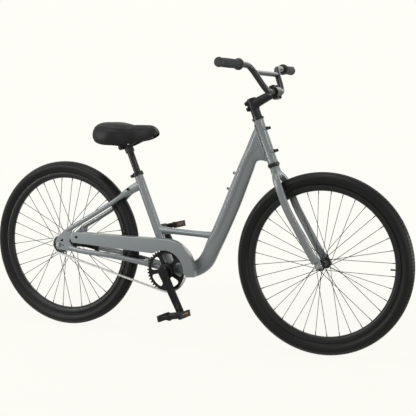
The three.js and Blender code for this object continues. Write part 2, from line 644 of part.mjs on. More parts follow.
// Crank arm of one side, with its bored boss and the pedal's spindle screwed into its end
function crankArmShape(side) {
  const face = (share) => side * (crank.inside + share * crank.thickness);
  const swing = at(-side * Math.sin(crank.angle * radians), 0, side * Math.cos(crank.angle * radians));
  const across = swing.clone().cross(yAxis);
  const stations = [
    [-crank.bossRadius / crank.length, 0.5, crank.bossRadius * 0.5],
    [0, 0.5, crank.bossRadius],
    [0.14, 0.5, crank.bossRadius * 0.94],
    [0.5, 0.52, crank.middle],
    [0.96, 0.55, crank.endRadius],
    [1 + (crank.endRadius * 0.6) / crank.length, 0.55, crank.endRadius * 0.7],
  ];
  const rings = stations.map(([way, share, wide]) =>
    oval(swing.clone().multiplyScalar(way * crank.length).add(at(0, face(share), 0)),
      across.clone().multiplyScalar(wide),
      yAxis.clone().multiplyScalar(crank.thickness / 2), 10, 3));
  const bossEnd = side < 0 ? -chainLine : shell.width / 2 + cup.flangeThickness + 2 * fit;
  const boss = rod(at(0, bossEnd, 0), at(0, face(0.6), 0), spindle.boss, 12);
  const tip = swing.clone().multiplyScalar(crank.length);
  const pin = rod(at(tip.x, face(0.5), tip.z), at(tip.x,
    side * (pedal.start + pedal.width - pedal.frame / 2), tip.z), pedal.axle, 12);
  const shoulder = rod(at(tip.x, face(0.9), tip.z), at(tip.x, side * (pedal.start - 2 * fit), tip.z),
    pedal.axle * 1.4, 8);
  const bore = rod(at(0, bossEnd - side * overrun, 0), at(0, face(1.2), 0), spindle.radius + fit, 12);
  return cut(join(loft(rings), boss, pin, shoulder), bore);
}

// The platform pedal: a barrel and two treads between end plates, with a seat for each reflector
function pedalShape(side) {
  const middle = side * (pedal.start + pedal.width / 2);
  const [halfLength, halfWidth] = [pedal.length / 2, pedal.width / 2];
  const outline = rounded([[-halfLength, -halfWidth], [halfLength, -halfWidth], [halfLength, halfWidth],
    [-halfLength, halfWidth]], pedal.corner);
  const slab = new THREE.ExtrudeGeometry(outline,
    { depth: pedal.height, bevelEnabled: false, curveSegments: 3 })
    .translate(0, middle, -pedal.height / 2);
  const windowLength = halfLength - pedal.frame - pedal.barrel;
  const windows = [-1, 1].map((end) => block(windowLength, pedal.width - 2 * pedal.frame, pedal.height * 2,
    at(end * (pedal.barrel + windowLength / 2), middle, 0)));
  const waist = [-1, 1].flatMap((end) => [-1, 1].map((up) =>
    block(windowLength * 1.3, pedal.width * 2, pedal.height / 3,
    at(end * (pedal.barrel + windowLength / 2), middle, (up * pedal.height) / 2))));
  const seats = [-1, 1].map((end) => block(reflector.depth * 2, reflector.length + 2 * fit,
    reflector.height + 2 * fit,
    at(end * halfLength, middle, 0)));
  const bore = rod(at(0, side * (pedal.start - overrun), 0),
    at(0, side * (pedal.start + pedal.width + overrun), 0), pedal.axle + fit, 12);
  return cut(slab, ...windows, ...waist, ...seats, bore);
}

function reflectorShape(side, end) {
  const middle = side * (pedal.start + pedal.width / 2);
  return block(reflector.depth - fit, reflector.length, reflector.height,
    at(end * (pedal.length / 2 - (reflector.depth - fit) / 2), middle, 0));
}

// Fork, in the frame of the steering axis: Z up the steerer, X ahead of it
const legShares = [
  [0.995, 0.02, 0.1], [0.965, 0.05, 0.42], [0.915, 0.1, 0.78], [0.85, 0.16, 0.95],
  [0.64, 0.21, 1], [0.43, 0.43, 1], [0.22, 0.67, 1], [0.07, 0.88, 1.01],
];

function forkShape() {
  const path = curve(legShares.map(([up, ahead, side]) =>
    at(ahead * forkOffset, -side * fork.legSide, up * level.crown - fork.legDeep)));
  const leg = sweep(path, 7, 8, yAxis, (way) => {
    const taper = Math.max(0, way * 1.3 - 0.3);
    return [blend(fork.legWide, fork.legWide * 0.8, taper),
      blend(fork.legDeep, fork.legDeep * 0.74, taper)];
  }, 2.2);
  const inside = frontHub.over / 2 + fit;
  const tab = rounded([
    [forkOffset - forkEnd.halfWidth, forkEnd.halfHeight * 2.4],
      [forkOffset - forkEnd.halfWidth, -forkEnd.halfHeight * 0.7],
    [forkOffset - forkEnd.halfWidth * 0.5, -forkEnd.halfHeight],
      [forkOffset + forkEnd.halfWidth * 0.7, -forkEnd.halfHeight],
    [forkOffset + forkEnd.halfWidth, -forkEnd.halfHeight * 0.4],
      [forkOffset + forkEnd.halfWidth * 0.8, forkEnd.halfHeight * 2],
  ], forkEnd.halfWidth / 2);
  const plate = sidePlate(tab, -inside - forkEnd.thickness, -inside, 2);
  const slot = [
    block(forkEnd.slot, forkEnd.thickness * 3, forkEnd.halfHeight * 2,
      at(forkOffset, -inside, -forkEnd.halfHeight)),
    rod(at(forkOffset, -inside - forkEnd.thickness * 1.5, 0),
      at(forkOffset, -inside + forkEnd.thickness, 0), forkEnd.slot / 2, 12),
  ];
  const legInside = block(fork.legWide * 2, fork.legWide, forkEnd.halfHeight * 5,
    at(forkOffset, -inside + fork.legWide / 2, 0));
  const end = cut(leg, legInside);
  const side = cut(join(end, plate), ...slot);
  const crown = turned([
    [0, level.crown - 2.6 * fork.crownRadius],
    [fork.crownRadius * 0.7, level.crown - 2.3 * fork.crownRadius],
    [fork.crownRadius * 1.04, level.crown - 1.5 * fork.crownRadius], [fork.crownRadius, level.crown],
    [headset.raceRadius, level.crown], [headset.raceRadius, level.crown + headset.race],
    [fork.steererRadius, level.crown + headset.race], [fork.steererRadius, level.steererTop],
      [0, level.steererTop],
  ], 12);
  const bore = rod(at(0, 0, level.crown), at(0, 0, level.steererTop + overrun), fork.steererBore, 10);
  return cut(join(crown, ...bothSides(side)), bore);
}

const sleeve = (inner, outer, from, to, sides) =>
  turned([[inner, from], [outer, from], [outer, to], [inner, to], [inner, from]], sides);

function cupShape(from, to, lean) {
  const bore = fork.steererRadius + 2 * fit;
  const slim = headset.radius * 0.86;
  const profile = lean > 0
    ? [[bore, from], [headset.radius, from], [headset.radius, blend(from, to, 0.55)], [slim, to],
      [bore, to], [bore, from]]
    : [[bore, from], [slim, from], [headset.radius, blend(from, to, 0.35)], [headset.radius, to],
      [bore, to], [bore, from]];
  return turned(profile, 14);
}

// Stem, in the same frame: a split clamp on the steerer and a forward arm with half a bar clamp
const clampAt = at(stem.reach, 0, level.stem + stem.height / 2 + stem.rise);
const pinchSeats = [0.24, 0.76].map((share) =>
  at(-stem.radius * 1.15, -stem.radius * 0.65, level.stem + share * stem.height));

function stemShape() {
  const middle = level.stem + stem.height / 2;
  const armShares = [[0, 1, 1], [0.35, 0.86, 0.86], [0.75, 0.84, 0.84], [1, 0.95, 0.98]];
  const arm = armShares.map(([way, wide, high]) =>
    oval(at(way * stem.reach, 0, middle + way * stem.rise), at(0, stem.radius * wide, 0),
      at(0, 0, stem.radius * high), 10, 2.6));
  const body = join(
    rod(at(0, 0, level.stem), at(0, 0, level.stemTop), stem.radius, 16),
    block(stem.radius, stem.radius * 1.3, stem.height, at(-stem.radius, 0, middle)),
    loft(arm),
    rod(clampAt.clone().add(at(0, -stem.clampWidth / 2, 0)),
      clampAt.clone().add(at(0, stem.clampWidth / 2, 0)), stem.barClamp, 12));
  return cut(body,
    rod(at(0, 0, level.stem - overrun), at(0, 0, level.stemTop + overrun), fork.steererRadius + fit, 16),
    block(stem.radius * 2, faceplate.split, stem.height * 2, at(-stem.radius * 1.6, 0, middle)),
    block(stem.radius * 0.8, stem.radius * 2, stem.height * 0.2, at(-stem.radius * 1.5, 0, middle)),
    rod(clampAt.clone().add(at(0, -stem.clampWidth, 0)), clampAt.clone().add(at(0, stem.clampWidth, 0)),
      bar.clampRadius + 2 * fit, 12),
    block(stem.barClamp * 2, stem.clampWidth * 2, stem.barClamp * 3,
      clampAt.clone().add(at(stem.barClamp, 0, 0))),
    ...pinchSeats.map((seat) => rod(seat.clone().add(at(0, -overrun, 0)),
      at(seat.x, stem.radius * 0.5, seat.z), pinchBolt.shank + fit, 6)));
}

function faceplateShape() {
  const ends = [-1, 1].map((side) => clampAt.clone().add(at(0, (side * stem.clampWidth) / 2, 0)));
  const lugs = [-1, 1].map((up) => block(faceplate.thickness, stem.clampWidth, stem.barClamp * 0.5,
    clampAt.clone().add(at(faceplate.split / 2 + faceplate.thickness / 2, 0, up * stem.barClamp))));
  const screws = [-1, 1].flatMap((up) => [-1, 1].map((side) => {
    const seat = clampAt.clone().add(at(faceplate.thickness, side * stem.clampWidth * 0.33,
      up * stem.barClamp * 1.02));
    return rod(seat, seat.clone().add(at(faceplate.boltLength / 2, 0, 0)), faceplate.boltRadius, 6);
  }));
  const body = cut(join(rod(ends[0], ends[1], stem.barClamp, 12), ...lugs),
    rod(ends[0].clone().add(at(0, -overrun, 0)), ends[1].clone().add(at(0, overrun, 0)),
      bar.clampRadius + 2 * fit, 12),
    block(stem.barClamp * 4, stem.clampWidth * 2, stem.barClamp * 4,
      clampAt.clone().add(at(faceplate.split / 2 - stem.barClamp * 2, 0, 0))));
  return join(body, ...screws);
}

// Handlebar, in world axes about the middle of its clamp: a rise in a leaned plane and swept ends
const barShares = [
  [0, 0], [0.11, 0], [0.19, 0.035], [0.235, 0.16], [0.345, 0.82], [0.395, 0.965], [0.47, 1], [0.6, 1.0],
    [1, 1.01],
];

function barPoint([out, up], side) {
  const swept = Math.max(0, out - 0.5) * 0.55 + up * 0.7;
  return at(-swept * barSweep, (side * out * bar.width) / 2, up * barRise);
}

const barPath = curve([
  ...barShares.slice(1).reverse().map((share) => barPoint(share, -1)),
  ...barShares.map((share) => barPoint(share, 1)),
]);

function barShape() {
  const bent = sweep(barPath, 32, 8, at(1, 0, 0), () => [bar.radius, bar.radius]);
  const middle = rod(at(0, -bar.clampHalf, 0), at(0, bar.clampHalf, 0), bar.clampRadius, 12);
  const [left, right] = [1, -1].map((side) => barPoint([0.33, 0.74], side));
  const cross = rod(right.clone().add(at(0, bar.radius * 0.4, 0)),
    left.clone().add(at(0, -bar.radius * 0.4, 0)), bar.crossRadius, 8);
  return join(bent, middle, cross);
}

function gripShape(side) {
  const end = barPoint([1, 1.01], side);
  const start = barPoint([0.6, 1.0], side);
  const way = end.clone().sub(start).normalize();
  const outer = end.clone().addScaledVector(way, grip.flangeLength / 2);
  const profile = [
    [0, 0], [grip.radius, 0], [grip.radius * 1.06, grip.flangeLength],
      [grip.radius * 0.95, grip.length - grip.flangeLength],
    [grip.flange, grip.length - grip.flangeLength], [grip.flange, grip.length], [grip.inner, grip.length],
    [grip.inner, grip.flangeLength / 2 - fit], [0, grip.flangeLength / 2 - fit],
  ];
  return spun(profile, 10)
    .applyQuaternion(new THREE.Quaternion().setFromUnitVectors(yAxis, way.negate()))
    .translate(outer.x, outer.y, outer.z);
}

// Wheels, about their own axle: the tyre stands on the rim's edge and its beads reach down inside it
const rimOuter = wheelRadius - tyre.height;
const rimInner = rimOuter - rim.depth;
const rimBed = rimOuter - rim.well;
const beadRadius = rimOuter - tyre.seat;

function rimShape() {
  const bedWidth = rim.width / 2 - rim.wall;
  const half = rim.width / 2;
  const ring = spun([
    [rimInner, -half * 0.55], [rimInner, half * 0.55], [rimOuter, half], [rimOuter, bedWidth],
    [rimBed, bedWidth], [rimBed, -bedWidth], [rimOuter, -bedWidth], [rimOuter, -half],
      [rimInner, -half * 0.55],
  ], wheelSides);
  return cut(ring, rod(at(rimInner - overrun, 0, 0), at(rimOuter, 0, 0), rim.valveHole, 6));
}

function tyreShape() {
  const bedWidth = rim.width / 2 - rim.wall - fit;
  const half = tyre.width / 2;
  const high = wheelRadius - beadRadius;
  const outside = [[0, bedWidth], [0.19, bedWidth], [0.52, half], [0.84, half * 0.76], [1, 0]];
  const inside = [[0.86, 0], [0, bedWidth - tyre.bead]];
  const place = ([share, side], sign) => [beadRadius + share * high, sign * side];
  const outline = [
    ...outside.map((point) => place(point, 1)),
    ...outside.slice(0, -1).reverse().map((point) => place(point, -1)),
    ...inside.slice(0, -1).reverse().map((point) => place(point, -1)),
    ...inside.map((point) => place(point, 1)),
  ];
  return spun([...outline, outline[0]], wheelSides);
}

function tubeShape() {
  const high = wheelRadius - beadRadius;
  const half = tyre.width / 2 - tyre.tread;
  const section = [[0.64, 0], [0.1, 0.18]];
  const place = ([share, side], sign) => [beadRadius + share * high, sign * side * half];
  const outline = [...section.map((point) => place(point, 1)),
    ...section.slice(1).reverse().map((point) => place(point, -1))];
  const ring = spun([...outline, outline[0]], wheelSides / 2);
  const valve = rod(at(rimOuter - tube.valveLength, 0, 0), at(rimOuter + overrun, 0, 0), tube.valveRadius,
    6);
  return join(ring, valve);
}

// A hub shell with its spokes, laced from alternate faces of each flange to the rim's well
function hubShape(hub, rightEnd) {
  const body = spun([
    [axle.bore, -rightEnd], [hub.endRadius, -rightEnd], [hub.endRadius, -hub.flange - hub.plate],
      [hub.flangeRadius, -hub.flange - hub.plate / 2],
    [hub.flangeRadius, -hub.flange + hub.plate / 2], [hub.body, -hub.flange + hub.plate * 2],
      [hub.body, hub.flange - hub.plate * 2],
    [hub.flangeRadius, hub.flange - hub.plate / 2], [hub.flangeRadius, hub.flange + hub.plate / 2],
      [hub.endRadius, hub.flange + hub.plate],
    [hub.endRadius, hub.end], [axle.bore, hub.end], [axle.bore, -rightEnd],
  ], 12);
  const holeRadius = hub.flangeRadius - 2.5 * spoke.radius;
  const spokes = Array.from({ length: spoke.count }, (_, i) => {
    const side = i % 2 ? 1 : -1;
    const lead = i % 4 < 2 ? 1 : -1;
    const rimAngle = (2 * Math.PI * (i + 0.5)) / spoke.count;
    const hubAngle = rimAngle + lead * ((spoke.crosses * 4 * Math.PI) / spoke.count - Math.PI / spoke.count);
    const foot = at(holeRadius * Math.cos(hubAngle), side * (hub.flange + lead * spoke.spread),
      holeRadius * Math.sin(hubAngle));
    const reach = rimInner * Math.cos(Math.PI / wheelSides) - fit;
    const tip = at(reach * Math.cos(rimAngle), side * spoke.rimSpread, reach * Math.sin(rimAngle));
    const out = tip.clone().sub(foot).cross(yAxis).setLength(spoke.radius);
    const aside = out.clone().cross(tip.clone().sub(foot)).setLength(spoke.radius);
    return loft([foot, tip].map((end) => oval(end, out, aside, 3)));
  });
  return join(body, ...spokes);
}

function axleShape(hub, collars) {
  const body = rod(at(0, -hub.nutEnd, 0), at(0, hub.nutEnd, 0), axle.radius, 12);
  const rings = collars.map(([from, to]) => rod(at(0, from, 0), at(0, to, 0), axle.collar, 8));
  return join(body, ...rings);
}

function nutShape(from, side) {
  const hex = rod(at(0, from, 0), at(0, from + side * nut.height, 0), nut.radius, 6);
  const washer = rod(at(0, from, 0), at(0, from + side * nut.flangeHeight, 0), nut.flange, 8);
  return cut(join(hex, washer), rod(at(0, from - side * overrun, 0),
    at(0, from + side * (nut.height + overrun), 0), axle.radius + fit, 12));
}

// The coaster brake's arm, from the axle to a strap round the left chainstay
function brakeArmShape() {
  const inner = rearHub.end + fit;
  const reach = at(brakeArm.length, 0, -brakeArm.length * 0.19);
  const strapAt = reach.clone().add(at(0, stayEnd, 0));
  const outline = new THREE.Shape();
  const eye = brakeArm.width * 0.8;
  outline.moveTo(-eye * 0.4, eye);
  outline.lineTo(eye, eye * 0.8);
  outline.lineTo(reach.x, reach.z + brakeArm.width / 2);
  outline.lineTo(reach.x, reach.z - brakeArm.width / 2);
  outline.lineTo(0, -eye);
  outline.quadraticCurveTo(-eye * 1.6, 0, -eye * 0.4, eye);
  const arm = sidePlate(outline, inner, inner + brakeArm.thickness, 3);
  const strapHalf = brakeArm.strapWidth / 2;
  const strapEnds = [-strapHalf, strapHalf].map((along) => strapAt.clone().add(at(along, 0, -along * 0.2)));
  const strap = rod(...strapEnds, brakeArm.strap + brakeArm.strapWall, 10);
  const room = strapEnds.map((point, i) => {
    const beyond = i === 0 ? -overrun : overrun;
    return point.clone().add(at(beyond, 0, -beyond * 0.2));
  });
  const bore = rod(at(0, inner - overrun, 0), at(0, inner + brakeArm.thickness + overrun, 0),
    axle.radius + fit, 12);
  return cut(join(arm, strap), bore, rod(...room, brakeArm.strap, 10));
}

// Saddle, in world axes about the pivot of its clamp, from rear to nose:
// shares of its length, its width, and of its height for the crown and the hem
const saddleShares = [
  [0, 0.31, 0.78, 0.3], [0.03, 0.39, 0.9, 0.2], [0.09, 0.455, 0.97, 0.1], [0.2, 0.49, 1, 0.02],
  [0.32, 0.5, 0.99, 0], [0.44, 0.43, 0.94, 0], [0.55, 0.3, 0.89, 0.035], [0.66, 0.215, 0.895, 0.15],
  [0.78, 0.18, 0.895, 0.215], [0.88, 0.16, 0.88, 0.31], [0.95, 0.13, 0.785, 0.41],
    [0.985, 0.09, 0.67, 0.465],
  [1, 0.045, 0.59, 0.51],
];
// Half of a section, from the skirt's hem over the drawn in side to the shallow channel in the crown
const coverShares = [[0.86, 0], [0.97, 0.14], [1, 0.34], [0.95, 0.57], [0.82, 0.78], [0.58, 0.93],
  [0.28, 1], [0, 0.97]];
const underShare = 0.3;
const underWidthShare = 0.8;

function saddleSection([along, wide, top, low]) {
  const x = -saddle.back + along * saddle.length;
  const [half, foot, crown] = [wide * saddle.width, saddle.rise + low * saddle.height,
    saddle.rise + top * saddle.height];
  const place = (side, up) => at(x, side * half, foot + up * (crown - foot));
  return { place, under: foot + underShare * (crown - foot) };
}

function coverShape() {
  return loft(saddleShares.map((station) => {
    const { place } = saddleSection(station);
    return [
      ...coverShares.map(([side, up]) => place(side, up)),
      ...coverShares.slice(0, -1).reverse().map(([side, up]) => place(-side, up)),
      place(-underWidthShare, 0), place(-underWidthShare * 0.97, underShare),
      place(underWidthShare * 0.97, underShare), place(underWidthShare, 0),
    ];
  }));
}

function baseShape() {
  const rings = saddleShares.slice(2, -2).map((station) => {
    const { place, under } = saddleSection(station);
    const wide = underWidthShare * 0.97 - saddleBase.inset / (station[1] * saddle.width);
    const edge = place(wide, 0);
    const upper = under - fit;
    const lower = upper - saddleBase.thickness;
    return [at(edge.x, edge.y, upper), at(edge.x, edge.y, lower), at(edge.x, -edge.y, lower),
      at(edge.x, -edge.y, upper)];
  });
  return loft(rings);
}

// The height just under the base, between its stations
function underBase(x) {
  const along = (x + saddle.back) / saddle.length;
  const next = saddleShares.findIndex((station) => station[0] >= along);
  const [before, after] = [saddleShares[next - 1], saddleShares[next]];
  const way = (along - before[0]) / (after[0] - before[0]);
  const under = blend(saddleSection(before).under, saddleSection(after).under, way);
  return under - 2 * fit - saddleBase.thickness - rail.radius;
}

function railsShape() {
  const rearX = -saddle.length * 0.23;
  const noseX = saddle.length * 0.5;
  const [side, height] = [rail.side, rail.height];
  const half = [
    [rearX, side * 1.35, underBase(rearX)], [rearX * 0.75, side * 1.12, height + rail.radius],
      [rearX * 0.4, side, height],
    [noseX * 0.28, side, height], [noseX * 0.55, side * 0.9, blend(height, underBase(noseX * 0.55), 0.8)],
    [noseX * 0.8, side * 0.66, underBase(noseX * 0.8) - rail.radius * 0.4],
    [noseX, side * 0.2, underBase(noseX)],
  ];
  const path = curve([...half.map(([x, y, z]) => at(x, -y, z)),
    ...half.reverse().map(([x, y, z]) => at(x, y, z))]);
  const wire = sweep(path, 20, 5, at(0, 0, 1), () => [rail.radius, rail.radius]);
  const cheeks = [-1, 1].map((way) => {
    const inner = at(0, way * (clamp.half + fit), 0);
    return rod(inner, at(0, way * (clamp.half + fit + clamp.cheek), 0), clamp.cheekRadius, 6);
  });
  const bore = rod(at(0, -clamp.half * 2, 0), at(0, clamp.half * 2, 0), clamp.bolt + 2 * fit, 6);
  return cut(join(wire, ...cheeks), bore);
}

// Seat post parts, in the frame of the seat tube: Z up the post, X ahead of it
const postTop = seatLength + post.shown;
const clampLevel = postTop + clamp.rise;
const clampPivot = at(-clamp.behind, 0, clampLevel);

function clampShape() {
  const low = postTop - clamp.height;
  const end = clamp.half + clamp.cheek + 2 * fit;
  const ring = rod(at(0, 0, low), at(0, 0, postTop), post.radius + fit + clamp.wall, 14);
  const across = (half) => [-half, half].map((y) => clampPivot.clone().add(at(0, y, 0)));
  const barrel = rod(...across(clamp.half), clamp.barrel, 8);
  const web = block(clamp.behind, clamp.half, clamp.height * 0.5,
    clampPivot.clone().add(at(clamp.behind * 0.4, 0, -clamp.height * 0.2)));
  const through = rod(...across(end), clamp.bolt, 6);
  const nuts = [-1, 1].map((way) => rod(clampPivot.clone().add(at(0, way * end, 0)),
    clampPivot.clone().add(at(0, way * (end + clamp.bolt * 1.4), 0)), clamp.bolt * 1.8, 6));
  const bore = rod(at(0, 0, low - overrun), at(0, 0, postTop + clamp.height), post.radius + fit, 16);
  return cut(join(ring, web, barrel, through, ...nuts), bore);
}

const postShape = () => turned([
  [0, seatLength - post.insertion], [post.radius, seatLength - post.insertion],
    [post.radius, postTop + fit], [0, postTop + fit],
], 16);

const collarTop = seatLength + collar.over;
const earAt = at(-collar.radius - collar.ear * 0.35, 0, collarTop - collar.height / 2);

function collarShape() {
  const low = collarTop - collar.height;
  const body = join(
    rod(at(0, 0, low), at(0, 0, collarTop), collar.radius, 14),
    block(collar.ear * 1.3, collar.earWidth, collar.height * 0.86, earAt));
  return cut(body,
    rod(at(0, 0, low - overrun), at(0, 0, seatLength + fit), seatTube.radius + fit, 16),
    rod(at(0, 0, low), at(0, 0, collarTop + overrun), post.radius + 2 * fit, 14),
    block(collar.radius * 2, collar.slit, collar.height * 2,
      at(-collar.radius * 1.5, 0, collarTop - collar.height / 2)),
    rod(earAt.clone().add(at(0, -collar.earWidth, 0)), earAt.clone().add(at(0, collar.earWidth, 0)),
      collar.bolt + fit, 8));
}

function collarBoltShape() {
  const end = collar.earWidth / 2 + fit;
  const shank = rod(earAt.clone().add(at(0, -end, 0)), earAt.clone().add(at(0, end + collar.bolt, 0)),
    collar.bolt, 8);
  const heads = [-1, 1].map((way) => rod(earAt.clone().add(at(0, way * end, 0)),
    earAt.clone().add(at(0, way * (end + collar.bolt), 0)), collar.bolt * 1.8, 8));
  return join(shank, ...heads);
}

function bracketCupShape(side) {
  const face = side * (shell.width / 2 + fit);
  const out = face + side * cup.flangeThickness;
  const inner = face - side * cup.depth;
  const body = shell.bore - fit;
  return spun([[cup.bore, inner], [body, inner], [body, face], [cup.flange, face], [cup.flange, out],
    [cup.bore, out], [cup.bore, inner]], 12);
}

function spindleShape() {
  const end = crank.inside + crank.thickness - spindle.recess;
  return join(
    rod(at(0, -end, 0), at(0, end, 0), spindle.radius, 12),
    ...[-1, 1].map((way) => rod(at(0, way * (end - spindle.recess), 0),
      at(0, way * (end + spindle.recess), 0), spindle.bolt, 6)));
}

// The bike put together: what steers, rolls, turns or slides has a group of its own
const bike = new THREE.Group();
const group = (parent, position, tilt = 0) => {
  const child = new THREE.Group();
  child.position.copy(position);
  child.rotation.y = tilt;
  parent.add(child);
  return child;
};

const sideNames = [['right', -1], ['left', 1]];
const endNames = [['front', 1], ['rear', -1]];
const leanOf = (angle) => (angle - 90) * radians;

part(bike, 'frame', frameShape(), paint);
part(bike, 'chain_guard', guardShape(), paint);
part(bike, 'chain_guard_bolt_rear', bolt(guardRearBolt.clone().add(at(0, -fit, 0)), yAxis, guardBolt),
  blackMetal);
part(bike, 'chain_guard_bolt_front', bolt(guardFrontSeat.clone().add(at(0, -fit, 0)), yAxis, guardBolt),
  blackMetal);
part(bike, 'chain', chainShape(), chainSteel);

['upper', 'lower'].forEach((height, row) => sideNames.forEach(([name], column) =>
  part(bike, `rack_bolt_${height}_${name}`,
    bolt(rackSeats[row * 2 + column].clone().addScaledVector(steerAhead, fit),
      steerAhead.clone().negate(), rackBolt), blackMetal)));
['upper', 'lower'].forEach((height, row) => part(bike, `bottle_bolt_${height}`,
  bolt(bottleSeats[row].clone().addScaledVector(tubeOut, fit), bottleIn, bottleBolt), blackMetal));
sideNames.forEach(([name, side], index) => part(bike, `stay_bolt_${name}`,
  bolt(staySeats[index].clone().add(at(0, side * fit, 0)), at(0, -side, 0), bottleBolt), blackMetal));

const head = group(bike, steerFoot, leanOf(headAngle));
part(head, 'headset_lower_cup', cupShape(level.cup, level.cup + headset.lowerCup, -1), blackMetal);
part(head, 'headset_upper_cup', cupShape(level.upperCup, level.upperCup + headset.upperCup, 1), blackMetal);

const seat = group(bike, bracket, leanOf(seatAngle));
part(seat, 'seat_collar', collarShape(), blackMetal);
part(seat, 'seat_collar_bolt', collarBoltShape(), blackSteel);

const bracketGroup = group(bike, bracket);
sideNames.forEach(([name, side]) => part(bracketGroup, `bracket_cup_${name}`, bracketCupShape(side),
  blackMetal));

const rearEnd = group(bike, rearAxle);
const innerRight = -rearHub.over / 2;
part(rearEnd, 'rear_axle', axleShape(rearHub, [
  [innerRight, -cogSize.driverEnd - fit], [rearHub.end + brakeArm.thickness + 2 * fit, -innerRight],
]), zinc);
sideNames.forEach(([name, side]) => part(rearEnd, `rear_axle_nut_${name}`,
  nutShape(side * (stayEnd + dropout.thickness / 2 + fit), side), zinc));
part(rearEnd, 'brake_arm', brakeArmShape(), blackMetal);

// What turns with the steering
part(head, 'fork', forkShape(), paint);
part(head, 'steerer_spacer', sleeve(fork.steererRadius + fit, headset.spacerRadius, level.spacer,
  level.spacer + headset.spacer, 16), blackMetal);
part(head, 'stem', stemShape(), blackMetal);
part(head, 'stem_faceplate', faceplateShape(), blackMetal);
['lower', 'upper'].forEach((height, row) => part(head, `stem_bolt_${height}`,
  bolt(pinchSeats[row].clone().add(at(0, -fit, 0)), yAxis, pinchBolt), blackSteel));
part(head, 'stem_top_cap', turned([
  [0, level.stemTop + fit], [stem.capRadius, level.stemTop + fit],
    [stem.capRadius, level.stemTop + fit + stem.cap * 0.6],
  [stem.capRadius * 0.8, level.stemTop + fit + stem.cap], [0, level.stemTop + fit + stem.cap],
], 12), blackMetal);

const frontEnd = group(bike, frontAxle);
const frontFace = frontHub.over / 2 + fit + forkEnd.thickness + fit;
part(frontEnd, 'front_axle', axleShape(frontHub, [-1, 1].map((side) =>
  [side * (frontHub.end + fit), (side * frontHub.over) / 2].sort((a, b) => a - b))), zinc);
sideNames.forEach(([name, side]) => part(frontEnd, `front_axle_nut_${name}`,
  nutShape(side * frontFace, side), zinc));

const barGroup = group(bike, onSteer(clampAt.z, clampAt.x));
part(barGroup, 'handlebar', barShape(), blackMetal);
sideNames.forEach(([name, side]) => part(barGroup, `grip_${name}`, gripShape(side), charcoal));

// Wheels
[['front', frontEnd, frontHub, frontHub.end], ['rear', rearEnd, rearHub,
  driverGap - fit]].forEach(([name, parent, hub, rightEnd]) => {
  part(parent, `${name}_tyre`, tyreShape(), blackRubber);
  part(parent, `${name}_rim`, rimShape(), blackMetal);
  part(parent, `${name}_inner_tube`, tubeShape(), blackRubber);
  part(parent, `${name}_hub`, hubShape(hub, rightEnd), blackMetal);
});
part(rearEnd, 'rear_sprocket', sprocketShape(), blackSteel);

// Crankset and pedals
part(bracketGroup, 'crank_spindle', spindleShape(), blackSteel);
part(bracketGroup, 'chainring', chainringShape(), blackMetal);
sideNames.forEach(([name, side]) => {
  part(bracketGroup, `crank_arm_${name}`, crankArmShape(side), blackMetal);
  const turn = crank.angle * radians;
  const tip = at(-side * Math.sin(turn) * crank.length, 0, side * Math.cos(turn) * crank.length);
  const pedalGroup = group(bracketGroup, tip, -pedal.tilt * radians);
  part(pedalGroup, `pedal_${name}`, pedalShape(side), plastic);
  endNames.forEach(([endName, end]) => part(pedalGroup, `pedal_reflector_${name}_${endName}`,
    reflectorShape(side, end), amber));
});

// Seat post and saddle
part(seat, 'seatpost', postShape(), blackMetal);
part(seat, 'saddle_clamp', clampShape(), blackSteel);
const saddleGroup = group(bike, onSeat(clampPivot.z, clampPivot.x));
part(saddleGroup, 'saddle_rails', railsShape(), blackSteel);
part(saddleGroup, 'saddle_base', baseShape(), plastic);
part(saddleGroup, 'saddle_cover', coverShape(), vinyl);

export default bike;
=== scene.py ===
from math import asin, atan2, ceil, copysign, cos, exp, hypot, pi, radians, sin, sqrt
import bmesh
import bpy
from mathutils import Matrix, Vector
from mathutils.geometry import tessellate_polygon


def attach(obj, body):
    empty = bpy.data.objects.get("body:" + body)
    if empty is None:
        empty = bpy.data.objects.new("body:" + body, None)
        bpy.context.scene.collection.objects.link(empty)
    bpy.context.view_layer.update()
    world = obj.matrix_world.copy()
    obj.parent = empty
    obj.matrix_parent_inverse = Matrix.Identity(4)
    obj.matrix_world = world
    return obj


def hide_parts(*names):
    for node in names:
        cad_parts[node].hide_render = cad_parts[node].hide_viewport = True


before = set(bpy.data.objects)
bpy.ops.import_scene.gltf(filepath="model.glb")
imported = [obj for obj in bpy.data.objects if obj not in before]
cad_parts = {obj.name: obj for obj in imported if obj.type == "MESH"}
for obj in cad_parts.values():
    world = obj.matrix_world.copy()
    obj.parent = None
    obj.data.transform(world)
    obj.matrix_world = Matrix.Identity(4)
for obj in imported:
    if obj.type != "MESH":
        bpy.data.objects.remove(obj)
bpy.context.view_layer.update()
print("stage: frame loaded")

# The bike's layout in millimetres, brought to metres when a piece is finished
mm = 0.001
bike = {
    "toeRoom": 279, "wheelRadius": 331, "drop": 69, "headAngle": 68.6, "seatAngle": 67.2, "forkOffset": 57,
    "pitch": 12.7, "links": 106, "ringTeeth": 40, "cogTeeth": 19, "chainLine": 44,
}
sides = (("right", -1), ("left", 1))


def vec(x, y, z):
    return Vector((x, y, z))


def lerp(a, b, t):
    return a + (b - a) * t


def spot(radius, angle, centre=(0, 0)):
    return (centre[0] + radius * cos(angle), centre[1] + radius * sin(angle))


def polar(radius, angle, height=0.0):
    return vec(*spot(radius, angle), height)


def centreDistance():
    distance = bike["pitch"] * bike["links"] / 2
    for _ in range(60):
        lean = asin((ringRadius - cogRadius) / distance)
        wrapped = bike["ringTeeth"] * (0.5 + lean / pi) + bike["cogTeeth"] * (0.5 - lean / pi)
        distance = hypot((bike["links"] - wrapped) * bike["pitch"] / 2, ringRadius - cogRadius)
    return distance


